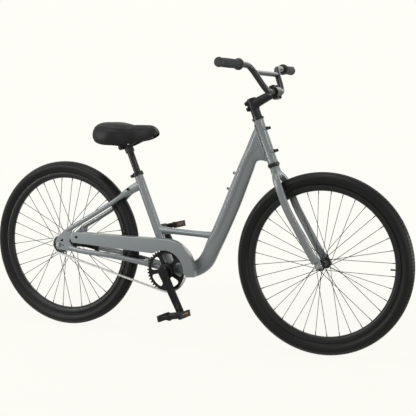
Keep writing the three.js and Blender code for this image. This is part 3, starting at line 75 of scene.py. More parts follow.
xAxis, yAxis = vec(1, 0, 0), vec(0, 1, 0)
ringRadius, cogRadius = (bike["pitch"] / (2 * sin(pi / bike[teeth])) for teeth in ("ringTeeth", "cogTeeth"))
chainstay = centreDistance()
rearCentre = sqrt(chainstay ** 2 - bike["drop"] ** 2)
wheelbase = rearCentre + bike["wheelRadius"] + bike["toeRoom"]
rearAxle, frontAxle = (vec(way * wheelbase / 2, 0, bike["wheelRadius"]) for way in (-1, 1))
bracket = vec(rearAxle.x + rearCentre, 0, bike["wheelRadius"] - bike["drop"])
headTurn, seatTurn = radians(bike["headAngle"]), radians(bike["seatAngle"])
steerUp, seatUp = (vec(-cos(turn), 0, sin(turn)) for turn in (headTurn, seatTurn))
steerAhead, seatAhead = (vec(sin(turn), 0, cos(turn)) for turn in (headTurn, seatTurn))
steerFoot = frontAxle - steerAhead * bike["forkOffset"]


def axes(origin, x, z):
    m = Matrix((x.normalized(), z.cross(x).normalized(), z.normalized())).transposed().to_4x4()
    m.translation = origin
    return m


def wheelAxes(centre):  # local Z along +Y, local X ahead
    return axes(centre, xAxis, yAxis)


def along(start, end):  # a frame at start whose Z points to end
    z = (end - start).normalized()
    return axes(start, z.orthogonal(), z)


world = Matrix.Identity(4)
steerFrame = axes(steerFoot, steerAhead, steerUp)
seatFrame = axes(bracket, seatAhead, seatUp)


# Shapes: lists of corners and faces that pieces are joined from
def newShape():
    return {"verts": [], "faces": []}


def addFaces(shape, verts, faces):
    base = len(shape["verts"])
    shape["verts"].extend(verts)
    shape["faces"].extend(tuple(base + i for i in face) for face in faces)
    return shape


def addBothSides(shape, half):
    addFaces(shape, half["verts"], half["faces"])
    return addFaces(shape, [vec(v.x, -v.y, v.z) for v in half["verts"]], [face[::-1] for face in half["faces"]])


def loopOf(profile):
    return profile + profile[:1]


def bothWays(half):  # a profile that ends at height 0, and its mirror image
    return half + [(r, -y) for r, y in half[-2::-1]]


# The profile of a ring, or with no bore of a pin, whose outer edges are eased
def band(bore, radius, low, high, ease):
    profile = [(bore, low), (radius - ease, low), (radius, low + ease), (radius, high - ease), (radius - ease, high)]
    profile.append((bore, high))
    return loopOf(profile) if bore else profile


def turns(count):
    return [(k, (k + 1) % count) for k in range(count)]


def addRings(shape, rings, fan=True):  # rings of corners in a row, with a fan of triangles or one face at each end
    count, verts, faces = len(rings[0]), [point for ring in rings for point in ring], []
    last = (len(rings) - 1) * count
    for here in range(0, last, count):
        faces += [(here + k, here + l, here + count + l, here + count + k) for k, l in turns(count)]
    for start, step in ((0, -1), (last, 1)):
        if fan:
            verts.append(sum(verts[start:start + count], vec(0, 0, 0)) / count)
            faces += [(start + k, start + l, len(verts) - 1)[::step] for k, l in turns(count)]
        else:
            faces.append(tuple(range(start, start + count))[::step])
    return addFaces(shape, verts, faces)


# A profile of (radius, height) turned about the local Z of a frame; a closed profile makes a ring
def addLathe(shape, profile, count, place=world):
    closed = profile[0] == profile[-1]
    verts, rows, faces = [], [], []
    for radius, height in profile[:-1] if closed else profile:
        corners = 1 if radius < 1e-6 else count
        rows.append([len(verts) + k % corners for k in range(count)])
        verts += [place @ polar(radius, 2 * pi * k / count, height) for k in range(corners)]
    for i in range(len(rows) - (not closed)):
        a, b = rows[i], rows[(i + 1) % len(rows)]
        quads = [tuple(dict.fromkeys((a[k], a[l], b[l], b[k]))) for k, l in turns(count)]
        faces += [face for face in quads if len(face) > 2]
    if not closed:
        faces += [tuple(row[::step]) for row, step in ((rows[0], -1), (rows[-1], 1)) if row[0] != row[-1]]
    return addFaces(shape, verts, faces)


def latheShape(place, *parts):  # parts are (count, profile)
    shape = newShape()
    for count, profile in parts:
        addLathe(shape, profile, count, place)
    return shape


def addRod(shape, start, end, radius, count=24, last=None, chamfer=0.0):
    last, length = last or radius, (end - start).length
    profile = [(0, 0), (radius, 0), (last, length), (0, length)]
    if chamfer > 0:
        c = min(chamfer, length / 3)
        profile = [(0, 0), (radius - c, 0), (radius, c), (last, length - c), (last - c, length), (0, length)]
    return addLathe(shape, profile, count, along(start, end))


def addBlock(shape, centre, size, chamfer, place=world):
    bm = bmesh.new()
    bmesh.ops.create_cube(bm, size=1)
    bmesh.ops.scale(bm, vec=size, verts=bm.verts)
    bmesh.ops.bevel(bm, geom=list(bm.edges), offset=chamfer, offset_type="OFFSET", segments=2, profile=0.5,
                    affect="EDGES", clamp_overlap=True, material=-1)
    addFaces(shape, [place @ (v.co + centre) for v in bm.verts], [tuple(v.index for v in f.verts) for f in bm.faces])
    bm.free()
    return shape


def smoothRing(points, count):  # a closed Catmull-Rom through 2D points
    out = []
    for i in range(len(points)):
        p0, p1, p2, p3 = (Vector(points[(i + k - 1) % len(points)]) for k in range(4))
        for t in (s / count for s in range(count)):
            out.append(0.5 * (2 * p1 + (p2 - p0) * t + (2 * p0 - 5 * p1 + 4 * p2 - p3) * t * t
                              + (3 * p1 - p0 - 3 * p2 + p3) * t ** 3))
    return [tuple(p) for p in out]


def roundedOutline(corners, radius, steps=6):
    out = []
    for i, corner in enumerate(corners):
        c = Vector(corner)
        runs = [Vector(other) - c for other in (corners[i - 1], corners[(i + 1) % len(corners)])]
        a, b = (c + run.normalized() * min(radius, run.length / 2) for run in runs)
        for t in (s / steps for s in range(steps + 1)):
            out.append(tuple(a * (1 - t) ** 2 + c * 2 * t * (1 - t) + b * t * t))
    return out


def inset(loop, by):
    area = sum(loop[k][0] * loop[l][1] - loop[l][0] * loop[k][1] for k, l in turns(len(loop)))
    by = by if area > 0 else -by
    out = []
    for i in range(len(loop)):
        a, b, c = (Vector(loop[(i + k) % len(loop)]) for k in (-1, 0, 1))
        d = (b - a).normalized() + (c - b).normalized()
        d = (c - b if d.length < 1e-6 else d).normalized()
        out.append((b.x - d.y * by, b.y + d.x * by))
    return out


# A flat plate with holes, drawn in the local X and Z of a frame and thick along local Y, with eased edges
def addPlate(shape, outline, low, high, holes=(), chamfer=0.0, place=world):
    levels = [(low, 0.0), (high, 0.0)]
    if chamfer > 0:
        levels = [(low, chamfer), (low + chamfer, 0.0), (high - chamfer, 0.0), (high, chamfer)]
    verts, faces, rows = [], [], []
    for y, by in levels:
        rows.append([inset(loop, -by if k else by) if by else loop for k, loop in enumerate([outline, *holes])])
        verts += [place @ vec(x, y, z) for loop in rows[-1] for x, z in loop]
    total = len(verts) // len(rows)
    for row in range(len(rows) - 1):
        a = row * total
        for loop in rows[row]:
            faces += [(a + k, a + l, a + total + l, a + total + k) for k, l in turns(len(loop))]
            a += len(loop)
    for row, step in ((0, 1), (len(rows) - 1, -1)):
        flat = tessellate_polygon([[vec(x, z, 0) for x, z in loop] for loop in rows[row]])
        faces += [tuple(row * total + i for i in corners)[::step] for corners in flat]
    return addFaces(shape, verts, faces)


def curvePoint(points, t):  # centripetal Catmull-Rom
    p = (len(points) - 1) * t
    i = min(int(p), len(points) - 2)
    w = p - i
    p1, p2 = points[i], points[i + 1]
    p0 = points[i - 1] if i > 0 else p1 * 2 - p2
    p3 = points[i + 2] if i + 2 < len(points) else p2 * 2 - p1
    d0, d1, d2 = (max((b - a).length ** 0.5, 1e-4) for a, b in ((p0, p1), (p1, p2), (p2, p3)))
    t1 = ((p1 - p0) / d0 - (p2 - p0) / (d0 + d1) + (p2 - p1) / d1) * d1
    t2 = ((p2 - p1) / d1 - (p3 - p1) / (d1 + d2) + (p3 - p2) / d2) * d1
    return p1 + t1 * w + (p2 * 3 - p1 * 3 - t1 * 2 - t2) * w ** 2 + (p1 * 2 - p2 * 2 + t1 + t2) * w ** 3


def oval(centre, u, v, count, squareness):
    def bend(value):
        return copysign(abs(value) ** (2 / squareness), value)
    angles = [2 * pi * (k + 0.5) / count for k in range(count)]
    return [centre + u * bend(cos(angle)) + v * bend(sin(angle)) for angle in angles]


def sweepRings(points, steps, count, across, halves, squareness=2.0, place=world):
    rings = []
    for way in (i / steps for i in range(steps + 1)):
        tangent = (curvePoint(points, min(way + 1e-3, 1)) - curvePoint(points, max(way - 1e-3, 0))).normalized()
        side = (across - tangent * across.dot(tangent)).normalized()
        wide, high = halves(way)
        ring = oval(curvePoint(points, way), side * wide, tangent.cross(side) * high, count, squareness)
        rings.append([place @ p for p in ring])
    return rings


def finishPiece(name, shape, body, node, look, smooth=35):
    bm = bmesh.new()
    verts = [bm.verts.new(v * mm) for v in shape["verts"]]
    for face in shape["faces"]:
        try:
            bm.faces.new([verts[i] for i in face])
        except ValueError:  # the same face again
            pass
    bmesh.ops.recalc_face_normals(bm, faces=bm.faces)
    mesh = bpy.data.meshes.new(name)
    bm.to_mesh(mesh)
    bm.free()
    mesh.shade_smooth()
    mesh.set_sharp_from_angle(angle=radians(smooth))
    obj = bpy.data.objects.new(name, mesh)
    bpy.context.scene.collection.objects.link(obj)
    material, slot = looks[look]
    mesh.materials.append(material)
    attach(obj, body)
    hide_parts(node)
    return obj


# Materials
def addNode(tree, kind, values=(), wires=()):
    node = tree.nodes.new("ShaderNode" + kind)
    for name, value in dict(values).items():
        node.inputs[name].default_value = value
    for name, socket in dict(wires).items():
        tree.links.new(socket, node.inputs[name])
    return node


def makeGrain():  # one group for every fine surface: a height for bump and a soft patchy mask
    group = bpy.data.node_groups.new("surfaceGrain", "ShaderNodeTree")
    for name, way in (("Scale", "INPUT"), ("Detail", "INPUT"), ("Height", "OUTPUT"), ("Patch", "OUTPUT")):
        group.interface.new_socket(name, in_out=way, socket_type="NodeSocketFloat")
    given, out = group.nodes.new("NodeGroupInput").outputs, group.nodes.new("NodeGroupOutput").inputs
    where = addNode(group, "TexCoord").outputs["Object"]
    wires = {"Vector": where, "Scale": given["Scale"], "Detail": given["Detail"]}
    fine = addNode(group, "TexNoise", {"Roughness": 0.6}, wires)
    patch = addNode(group, "TexNoise", {"Scale": 14, "Detail": 3}, {"Vector": where})
    group.links.new(fine.outputs["Fac"], out["Height"])
    group.links.new(patch.outputs["Fac"], out["Patch"])
    return group


def addRelief(material, height, strength, distance, keep=True):  # a bump over the one that is there, or instead
    tree = material.node_tree
    normal = tree.nodes["Principled BSDF"].inputs["Normal"]
    wires = {"Height": height}
    if keep and normal.is_linked:
        wires["Normal"] = normal.links[0].from_socket
    relief = addNode(tree, "Bump", {"Strength": strength, "Distance": distance}, wires)
    tree.links.new(relief.outputs["Normal"], normal)


def makeMaterial(name, color, roughness, metallic, grain, bump, spread, specular, tint=0.06, coat=0.0, coatRough=0.1):
    material = bpy.data.materials.new(name)
    material.use_nodes = True
    tree = material.node_tree
    shader = tree.nodes["Principled BSDF"].inputs
    for key, value in (("Metallic", metallic), ("Coat Weight", coat), ("Coat Roughness", coatRough),
                       ("Specular IOR Level", specular)):
        shader[key].default_value = value
    group = addNode(tree, "Group")
    group.node_tree = grainGroup
    group.inputs["Scale"].default_value, group.inputs["Detail"].default_value = grain, 3
    patch = group.outputs["Patch"]
    ramp = addNode(tree, "MapRange", {"From Min": 0.3, "From Max": 0.7, "To Min": roughness - spread,
                                      "To Max": roughness + spread}, {"Value": patch})
    tree.links.new(ramp.outputs["Result"], shader["Roughness"])
    mix = addNode(tree, "Mix")
    mix.data_type = "RGBA"
    for key, part in (("A", 1 - tint), ("B", 1 + tint)):
        mix.inputs[key].default_value = (*[c * part for c in color], 1)
    tree.links.new(patch, mix.inputs["Factor"])
    tree.links.new(mix.outputs["Result"], shader["Base Color"])
    addRelief(material, group.outputs["Height"], bump, 0.0006)
    return material


grainGroup = makeGrain()
# Name: slot, colour, roughness, metallic, grain scale, bump, spread of roughness, specular, and then tint and coat
surfaces = {
    "slatePaint": ("frame_paint", (0.19, 0.211, 0.215), 0.42, 0.2, 900, 0.02, 0.03, 0.2, 0.02, 0.8, 0.13),
    "blackPaint": ("black_paint", (0.009, 0.0092, 0.0096), 0.38, 0, 900, 0.04, 0.05, 0.14),
    "barPaint": ("black_paint", (0.016, 0.0164, 0.0168), 0.26, 0.1, 900, 0.03, 0.05, 0.3),
    "postGloss": ("black_paint", (0.004, 0.0042, 0.0045), 0.07, 0, 500, 0.004, 0.02, 0.35),
    "blackAlloy": ("black_alloy", (0.014, 0.0144, 0.0148), 0.3, 0.1, 1200, 0.04, 0.04, 0.2),
    "glossBlackAlloy": ("black_alloy", (0.006, 0.0062, 0.0066), 0.16, 0, 900, 0.01, 0.03, 0.3),
    "blackSteel": ("black_steel", (0.02, 0.02, 0.021), 0.42, 0.6, 1500, 0.06, 0.08, 0.5),
    "zincSteel": ("zinc_steel", (0.28, 0.282, 0.286), 0.28, 1, 1500, 0.05, 0.06, 0.5),
    "chainSteel": ("chain_steel", (0.5, 0.5, 0.49), 0.34, 0.75, 900, 0.05, 0.08, 0.5),
    "tyreRubber": ("tyre_rubber", (0.0085, 0.0086, 0.0088), 0.4, 0, 700, 0.06, 0.04, 0.15),
    "gripRubber": ("grip_rubber", (0.055, 0.056, 0.058), 0.66, 0, 900, 0.2, 0.05, 0.2),
    "blackPlastic": ("black_plastic", (0.014, 0.0142, 0.0146), 0.5, 0, 1600, 0.15, 0.05, 0.15),
    "saddleVinyl": ("saddle_vinyl", (0.008, 0.0082, 0.0086), 0.5, 0, 900, 0.02, 0.02, 0.2, 0.03),
    "amberReflector": ("amber_reflector", (0.85, 0.32, 0.03), 0.2, 0, 300, 0.02, 0.04, 0.5, 0.06, 0.8, 0.05),
}
looks = {name: (makeMaterial(name, *row), slot) for name, (slot, *row) in surfaces.items()}
for name, kind, scale, output, strength, distance in (("saddleVinyl", "TexVoronoi", 700, "Distance", 0.015, 0.0003),
                                                      ("amberReflector", "TexChecker", 500, "Fac", 0.5, 0.0005)):
    tree = looks[name][0].node_tree
    pattern = addNode(tree, kind, {"Scale": scale}, {"Vector": addNode(tree, "TexCoord").outputs["Object"]})
    addRelief(looks[name][0], pattern.outputs[output], strength, distance, name == "saddleVinyl")
# Painted glow: the reflector gets a faint amber emission that stands in for the light the lens sends back, so it shines
# though it is no lamp.
glow = looks["amberReflector"][0].node_tree.nodes["Principled BSDF"].inputs
glow["Emission Color"].default_value, glow["Emission Strength"].default_value = (0.9, 0.3, 0.03, 1), 0.12
print("stage: materials")

# Camera, lights and floor
view = {
    "place": (1.6215, -3.2787, 0.8735), "focalPixels": 964.76, "imageSize": 416, "shift": (0.0013, 0.0048),
    "right": (0.90452789, 0.42616579, 0.01456059), "up": (-0.05683176, 0.08664162, 0.9946172),
    "forward": (-0.42261027, 0.90048651, -0.10258951),
}
scene = bpy.context.scene
cameraData = bpy.data.cameras.new("camera")
cameraData.sensor_width, cameraData.clip_end = 36, 50
cameraData.lens = cameraData.sensor_width * view["focalPixels"] / view["imageSize"]
cameraData.shift_x, cameraData.shift_y = view["shift"]
camera = bpy.data.objects.new("camera", cameraData)
turn = Matrix((Vector(view["right"]), Vector(view["up"]), -Vector(view["forward"]))).transposed()
camera.matrix_world = Matrix.Translation(view["place"]) @ turn.to_4x4()
scene.collection.objects.link(camera)
scene.camera = camera
scene.view_settings.view_transform = "Standard"
backdrop = {"color": (0.991, 0.984, 0.93), "glow": 1.0, "bounce": 0.3, "shade": 0.8, "shadeShare": 0.055,
            "shadeReach": 1.7, "sky": 0.16}


# 1 for rays from the camera, in gloss and through glass, which see the plain background, else 0
def addSeenRays(tree):
    path = addNode(tree, "LightPath").outputs
    seen = path["Is Camera Ray"]
    for name in ("Is Glossy Ray", "Is Transmission Ray"):
        either = addNode(tree, "Math", (), {0: seen, 1: path[name]})
        either.operation = "MAXIMUM"
        seen = either.outputs["Value"]
    return seen


def addChoice(tree, share, first, second):
    return addNode(tree, "MixShader", (), {"Fac": share, 1: first, 2: second}).outputs["Shader"]


def makeBackdrop():
    material = bpy.data.materials.new("backdrop")
    material.use_nodes = True
    tree = material.node_tree
    tree.nodes.clear()
    seen = addNode(tree, "Emission", {"Color": (*backdrop["color"], 1), "Strength": backdrop["glow"]})
    shade = addNode(tree, "BsdfDiffuse", {"Color": (*[backdrop["shade"] * part for part in backdrop["color"]], 1)})
    soft = addNode(tree, "BsdfDiffuse", {"Color": (*[backdrop["bounce"]] * 3, 1)})
    near = addNode(tree, "Mapping", {"Scale": (1 / backdrop["shadeReach"],) * 3},
                   {"Vector": addNode(tree, "TexCoord").outputs["Object"]})
    ball = addNode(tree, "TexGradient", (), {"Vector": near.outputs["Vector"]})
    ball.gradient_type = "SPHERICAL"
    values = {"To Max": backdrop["shadeShare"], "From Max": 0.4}
    share = addNode(tree, "MapRange", values, {"Value": ball.outputs["Fac"]}).outputs["Result"]
    ground = addChoice(tree, share, seen.outputs["Emission"], shade.outputs["BSDF"])
    pick = addChoice(tree, addSeenRays(tree), soft.outputs["BSDF"], ground)
    addNode(tree, "OutputMaterial", (), {"Surface": pick})
    return material


floorMesh = bpy.data.meshes.new("floor")
floorMesh.from_pydata([(-30, -30, -0.002), (30, -30, -0.002), (30, 30, -0.002), (-30, 30, -0.002)], [], [(0, 1, 2, 3)])
floorMesh.materials.append(makeBackdrop())
floor = bpy.data.objects.new("floor", floorMesh)
scene.collection.objects.link(floor)

sky = bpy.data.worlds.new("sky")
scene.world = sky
sky.use_nodes = True
sky.node_tree.nodes.clear()
lit = addNode(sky.node_tree, "Background", {"Color": (1, 1, 1, 1), "Strength": backdrop["sky"]})
seen = addNode(sky.node_tree, "Background", {"Color": (*backdrop["color"], 1)})
pick = addChoice(sky.node_tree, addSeenRays(sky.node_tree), lit.outputs["Background"], seen.outputs["Background"])
addNode(sky.node_tree, "OutputWorld", (), {"Surface": pick})

lights = {  # place, aim, size and power
    "keyLight": ((-1.25, -1.45, 1.35), (-0.15, 0, 0.4), (1.3, 1.3), 18.6),
    "fillLight": ((2.6, -3.2, 1.4), (0, 0, 0.5), (2.0, 2.0), 3),
    "stripLight": ((3.3, -0.95, 1.6), (0.2, 0, 0.8), (0.35, 2.9), 34),
    "sideLight": ((-2.2, -1.75, 0.75), (0.1, 0, 0.6), (0.25, 1.5), 17),
    "treadLight": ((3.3, 1.2, 0.8), (0.85, 0, 0.35), (0.9, 1.5), 40),
    "rimLight": ((0.6, 3.2, 2.6), (0, 0, 0.5), (2.0, 2.0), 22),
    "topLight": ((-0.4, -0.4, 3.8), (0, 0, 0), (1.8, 1.8), 40),
}
for name, (place, aim, size, power) in lights.items():
    data = bpy.data.lights.new(name, "AREA")
    data.shape = "RECTANGLE"
    data.size, data.size_y = size
    data.energy = power
    lamp = bpy.data.objects.new(name, data)
    lamp.visible_camera = False
    lamp.location = place
    lamp.rotation_euler = (Vector(aim) - Vector(place)).to_track_quat("-Z", "Y").to_euler()
    scene.collection.objects.link(lamp)
print("stage: camera and light")

# Wheels
wheel = {
    "rimSteps": 96, "tyreSteps": 144, "treadRows": 160, "spokes": 36, "spokeRadius": 1.17, "rimInner": 264,
    "nippleLength": 12, "crosses": 3, "lean": 2.2, "rimLean": 3, "hubBore": 5.6, "nutBore": 5.3,
}
hubs = {
    "front": {"flange": 33, "disc": 20, "body": 11, "end": 47, "rightEnd": 47, "endRadius": 12, "plate": 3.6},
    "rear": {"flange": 29, "disc": 32, "body": 20.5, "end": 46, "rightEnd": 36.7, "endRadius": 15, "plate": 3.8},
}
axles = {  # centre, half length, collars, the height that the nuts start at, and body
    "front": (frontAxle, 66, [(-50, -47.3), (47.3, 50)], 55.6, "steering"),
    "rear": (rearAxle, 72, [(-55, -52.3), (49.6, 55)], 61.6, "frame"),
}
rimHalf = [(286, 12.6), (286.4, 13.6), (286, 14.8), (284, 15), (277, 14.6), (270, 12), (265.6, 8.6), (264.2, 5),
           (264, 0)]
rimBed = [(279, -12.4), (276.4, -10), (276, 0), (276.4, 10), (279, 12.4)]
tyreHalf = [
    (279, 9.2), (279, 12.1), (285.5, 12.2), (287.6, 14.2), (289.4, 16.9), (290.4, 17.4), (291.4, 18.6), (296, 23),
    (302, 26), (307.4, 26.9), (308, 26.5), (308.8, 26.9), (313, 26.2), (316.4, 24.9), (317, 24.2), (318.8, 23.4),
    (323.7, 17.8), (327.2, 10.7), (328.7, 4.5), (329, 0),
]
tyreInside = [(325, 0), (323, 8), (315, 18), (300, 20), (279, 9.2)]
# Tread rows: middle, width, foot, top and share of the pitch
treadRibs = [(0, 9.4, 329.0, 330.9, 0.9), (11.0, 10, 326.8, 328.8, 0.87), (20.2, 8.6, 320.6, 322.5, 0.84)]


def makeTyre(centre):
    place = wheelAxes(centre)
    outline = bothWays(tyreHalf) + [(r, -y) for r, y in tyreInside[-2::-1]] + tyreInside[1:]
    shape = latheShape(place, (wheel["tyreSteps"], outline))
    rows = wheel["treadRows"]
    for row in range(rows):
        for middle, wide, low, high, share in treadRibs:
            for side in (-1, 1) if middle else (0,):
                addTread(shape, place, 2 * pi * row / rows, side * middle, wide, low, high, share * pi / rows, side)
    return shape


def addTread(shape, place, angle, middle, wide, low, high, half, side):
    tilt = atan2(abs(middle), 22) * 0.95
    verts = []
    for level, shrink in ((low - 3.5, 1.0), (high, 0.95)):
        for a, w in ((-1, -1), (1, -1), (1, 1), (-1, 1)):
            out = w * wide / 2 * shrink
            turned = angle + a * half * shrink + 0.006 * out / 4 * abs(side)
            verts.append(place @ polar(level - out * sin(tilt), turned, middle + (side or 1) * out * cos(tilt)))
    addFaces(shape, verts, [(3, 2, 1, 0), (4, 5, 6, 7), (0, 1, 5, 4), (1, 2, 6, 5), (2, 3, 7, 6), (3, 0, 4, 7)])


def makeHub(centre, hub):
    place = wheelAxes(centre)
    f, p, r, body = hub["flange"], hub["plate"], hub["disc"], hub["body"]
    last, out, bore = hub["endRadius"], hub["rightEnd"], wheel["hubBore"]
    half = [(bore, -out), (last - 1, -out), (last, -out + 1), (last, -f - p), (last + 1.5, -f - p * 0.62),
            (r - 1, -f - p / 2), (r, -f - p / 2 + 1), (r, -f + p / 2 - 1), (r - 1, -f + p / 2),
            (body + 2.5, -f + p * 0.9), (body, -f + p * 1.9), (body, 0)]
    profile = [(radius, y * hub["end"] / out if y >= out - 1.01 else y) for radius, y in bothWays(half)]
    shape = latheShape(place, (40, loopOf(profile)))
    hole, reach, pitch = r - 2.6, wheel["rimInner"] - 0.6, pi / wheel["spokes"]
    for i in range(wheel["spokes"]):
        side = 1 if i % 2 else -1
        lead = 1 if i % 4 < 2 else -1
        rimAngle = 2 * pitch * (i + 0.5)
        hubAngle = rimAngle + lead * pitch * (wheel["crosses"] * 4 - 1)
        tip = place @ polar(reach, rimAngle, side * wheel["rimLean"])
        foot, root, head = (place @ polar(hole, hubAngle, side * (f + lead * lift))
                            for lift in (wheel["lean"], 0, p / 2 + 1.3))
        addRod(shape, foot, tip, wheel["spokeRadius"], 6)
        addRod(shape, tip, tip + (foot - tip).normalized() * wheel["nippleLength"], 2.0, 6, 1.7)
        addRod(shape, root, head, 1.9, 8, 1.3)
    return shape


def makeAxle(centre, reach, collars):
    thread = [(4.95 if k % 2 else 4.5, reach - k * 0.8) for k in range(26)]
    profile = [(0, -reach), (4.2, -reach)] + [(r, -y) for r, y in thread] + thread[::-1] + [(4.2, reach), (0, reach)]
    return latheShape(wheelAxes(centre), (20, profile), *((24, band(4.9, 9, *collar, 0.6)) for collar in collars))


def makeNut(centre, start, side):
    bore = wheel["nutBore"]
    washer = [(bore, 0), (10.1, 0), (10.5, 0.4), (10.5, 1.6), (10, 2.1), (bore, 2.1)]
    hexagon = [(8.7, 2.0), (8.7, 7.0), (7.9, 8.0), (bore, 8.0), (bore, 2.0)]
    place = axes(centre + yAxis * side * start, xAxis, yAxis * side)
    return latheShape(place, (32, loopOf(washer)), (6, loopOf(hexagon)))


for name, (centre, *_) in axles.items():
    body = f"{name}_wheel"
    finishPiece(f"{name}TyreTread", makeTyre(centre), body, f"{name}_tyre", "tyreRubber", 40)
    rim = latheShape(wheelAxes(centre), (wheel["rimSteps"], loopOf(bothWays(rimHalf) + rimBed)))
    finishPiece(f"{name}RimHoop", rim, body, f"{name}_rim", "blackAlloy")
    finishPiece(f"{name}HubSpokes", makeHub(centre, hubs[name]), body, f"{name}_hub", "blackAlloy", 40)
    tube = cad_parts[f"{name}_inner_tube"].data.materials
    tube.clear()
    tube.append(looks["tyreRubber"][0])
for name, (*layout, _, body) in axles.items():
    finishPiece(f"{name}AxleRod", makeAxle(*layout), body, f"{name}_axle", "zincSteel")
for sideName, side in sides:
    for name, (centre, _, _, start, body) in axles.items():
        nut, node = makeNut(centre, start, side), f"{name}_axle_nut_{sideName}"
        finishPiece(f"{name}AxleNut{sideName}", nut, body, node, "zincSteel")
print("stage: wheels")

# Frame tubes
framePart = {
    "head": {"length": 168, "radius": 18.6, "bore": 15.6, "lip": 0.9, "lipLength": 7},
    "seat": {"length": 397, "radius": 17.45, "bore": 13.9, "depth": 215},
    "shell": {"width": 68, "radius": 24, "bore": 17},
    "tubeHalf": 22, "strutRadius": 12, "strutFrom": 163, "stayTop": 340, "stayEnd": 58.3, "stayClear": 39.5,
    "stayLift": 11, "squareness": 2.3, "dropout": 100, "dropoutHalf": 3, "slot": 5.3,
}
levels = {
    "cup": 389.3, "tube": 403.0, "tubeTop": 571.0, "upperCup": 571.3, "spacer": 589.0, "stem": 609.9, "stemTop": 650.9,
}
guardPart = {
    "outer": 124, "inner": 81, "wall": 1.8, "faceOut": -66.0, "lipEnd": -36.2, "rear": 419, "low": 82, "lipRear": 372,
    "round": 3.6, "corner": 9, "screwIn": 25, "screwLow": 19,
}


def onSteer(up, ahead=0.0, side=0.0):
    return steerFoot + steerUp * up + steerAhead * ahead + vec(0, side, 0)


def onSeat(up):
    return bracket + seatUp * up


span = onSteer(levels["tube"]) - bracket


def onSpan(x, z):
    return vec(bracket.x + x * span.x, 0, bracket.z + z * span.z)


def onWeb(up, behind):
    length = framePart["head"]["length"]
    return onSteer(levels["tube"] + up * length, -behind * length)


# Upper point, lower point and width of each section of the down tube, then of the web behind the head tube
tubeShares = [
    (0.02, 0.061, 0.02, -0.055, 1), (0.217, 0.087, 0.192, -0.062, 1.02), (0.283, 0.123, 0.305, -0.028, 1.04),
    (0.334, 0.191, 0.412, 0.052, 1.03), (0.368, 0.274, 0.495, 0.203, 1), (0.421, 0.387, 0.558, 0.331, 1),
    (0.539, 0.657, 0.682, 0.602, 1), (0.68, 0.992, 0.812, 0.933, 0.97),
]
webShares = [
    (0.485, 0.509, 0.163, 0.341, 0.95), (0.652, 0.348, 0.14, 0.215, 0.9), (0.815, 0.19, 0.074, 0.114, 0.78),
    (0.97, 0, 0.04, 0, 0.6),
]
tubePart = {"steps": 110, "deep": 20, "flat": 0.34, "lean": 0.24, "belly": 2.2, "headRoom": 18.2, "shellRoom": 19.5}


def clamped(w):
    return max(0.0, min(1.0, w))


# Keeps a point out of a round bore whose axis is the Z of a frame, on the side where local X has that sign
def clearOf(point, place, radius, sign):
    local = place.inverted() @ point
    if abs(local.y) < radius:
        limit = sign * sqrt(radius ** 2 - local.y ** 2)
        local.x = max(local.x, limit) if sign > 0 else min(local.x, limit)
    return place @ local


# Half a section as (height, side): flat top, a face down to a round shoulder, a side that leans in, a round belly
def tubeSection(t, high, wide):
    part = clamped((t - 0.3) / 0.25)
    grown = part * part * (3 - 2 * part)
    deep = min(lerp(5, tubePart["deep"], grown), 0.5 * high)
    flat, lean = lerp(0.6, tubePart["flat"], grown), tubePart["lean"] * grown
    rest = 1 - flat
    corners = [(0, 0), (0, 0.6 * flat), (0.03, flat), (0.14, flat + 0.18 * rest), (0.45, flat + 0.5 * rest),
               (0.8, flat + 0.83 * rest), (1.0, flat + 0.96 * rest), (1.25, 1), (1.7, 1 - 0.06 * lean)]
    corners = [vec(high - down * deep, share * wide, 0) for down, share in corners]
    half = [curvePoint(corners, k / 28).to_2d().to_tuple() for k in range(29)]
    low, start, foot = -0.1 * high, half[-1], (1 - lean) * wide
    half += [(lerp(start[0], low, k / 5), lerp(start[1], foot, k / 5)) for k in range(1, 6)]
    for k in range(1, 11):
        angle, bend = pi / 2 * k / 10, 2 / tubePart["belly"]
        half.append((low - (high + low) * sin(angle) ** bend, foot * cos(angle) ** bend if k < 10 else 0.0))
    return half


def makeDownTube():
    uppers, lowers = ([onSpan(*row[at:at + 2]) for row in tubeShares] + [onWeb(*row[at:at + 2]) for row in webShares]
                      for at in (0, 2))
    shares = [row[4] for row in tubeShares + webShares]
    rings = []
    for t in (i / tubePart["steps"] for i in range(tubePart["steps"] + 1)):
        at = t * (len(shares) - 1)
        low = min(int(at), len(shares) - 2)
        upper, lower = curvePoint(uppers, t), curvePoint(lowers, t)
        centre, up = (upper + lower) / 2, (upper - lower) / 2
        half = tubeSection(t, up.length, framePart["tubeHalf"] * lerp(shares[low], shares[low + 1], at - low))
        up.normalize()
        ring = []
        for height, side in half + [(height, -side) for height, side in half[-2:0:-1]]:
            point = centre + up * height + vec(0, side, 0)
            point = clearOf(point, steerFrame, tubePart["headRoom"], -1) if at > 8 else point
            local, room = point - bracket, tubePart["shellRoom"]
            if at < 0.9 and abs(local.z) < room:
                point = bracket + vec(max(local.x, sqrt(room ** 2 - local.z ** 2)), local.y, local.z)
            ring.append(point)
        rings.append(ring)
    return addRings(newShape(), rings)


def makeWelds():
    def halves(w):
        return (4.8 * min(1, w * 8 + 0.15, (1 - w) * 6 + 0.15),) * 2
    shape = newShape()
    for side in (-11.8, 11.8):
        ups = [lerp(0.93, 0.2, k / 12) * framePart["head"]["length"] for k in range(13)]
        path = [onSteer(levels["tube"] + up, -16.5, side) for up in ups]
        addRings(shape, sweepRings(path, 60, 10, yAxis, halves))
    return shape


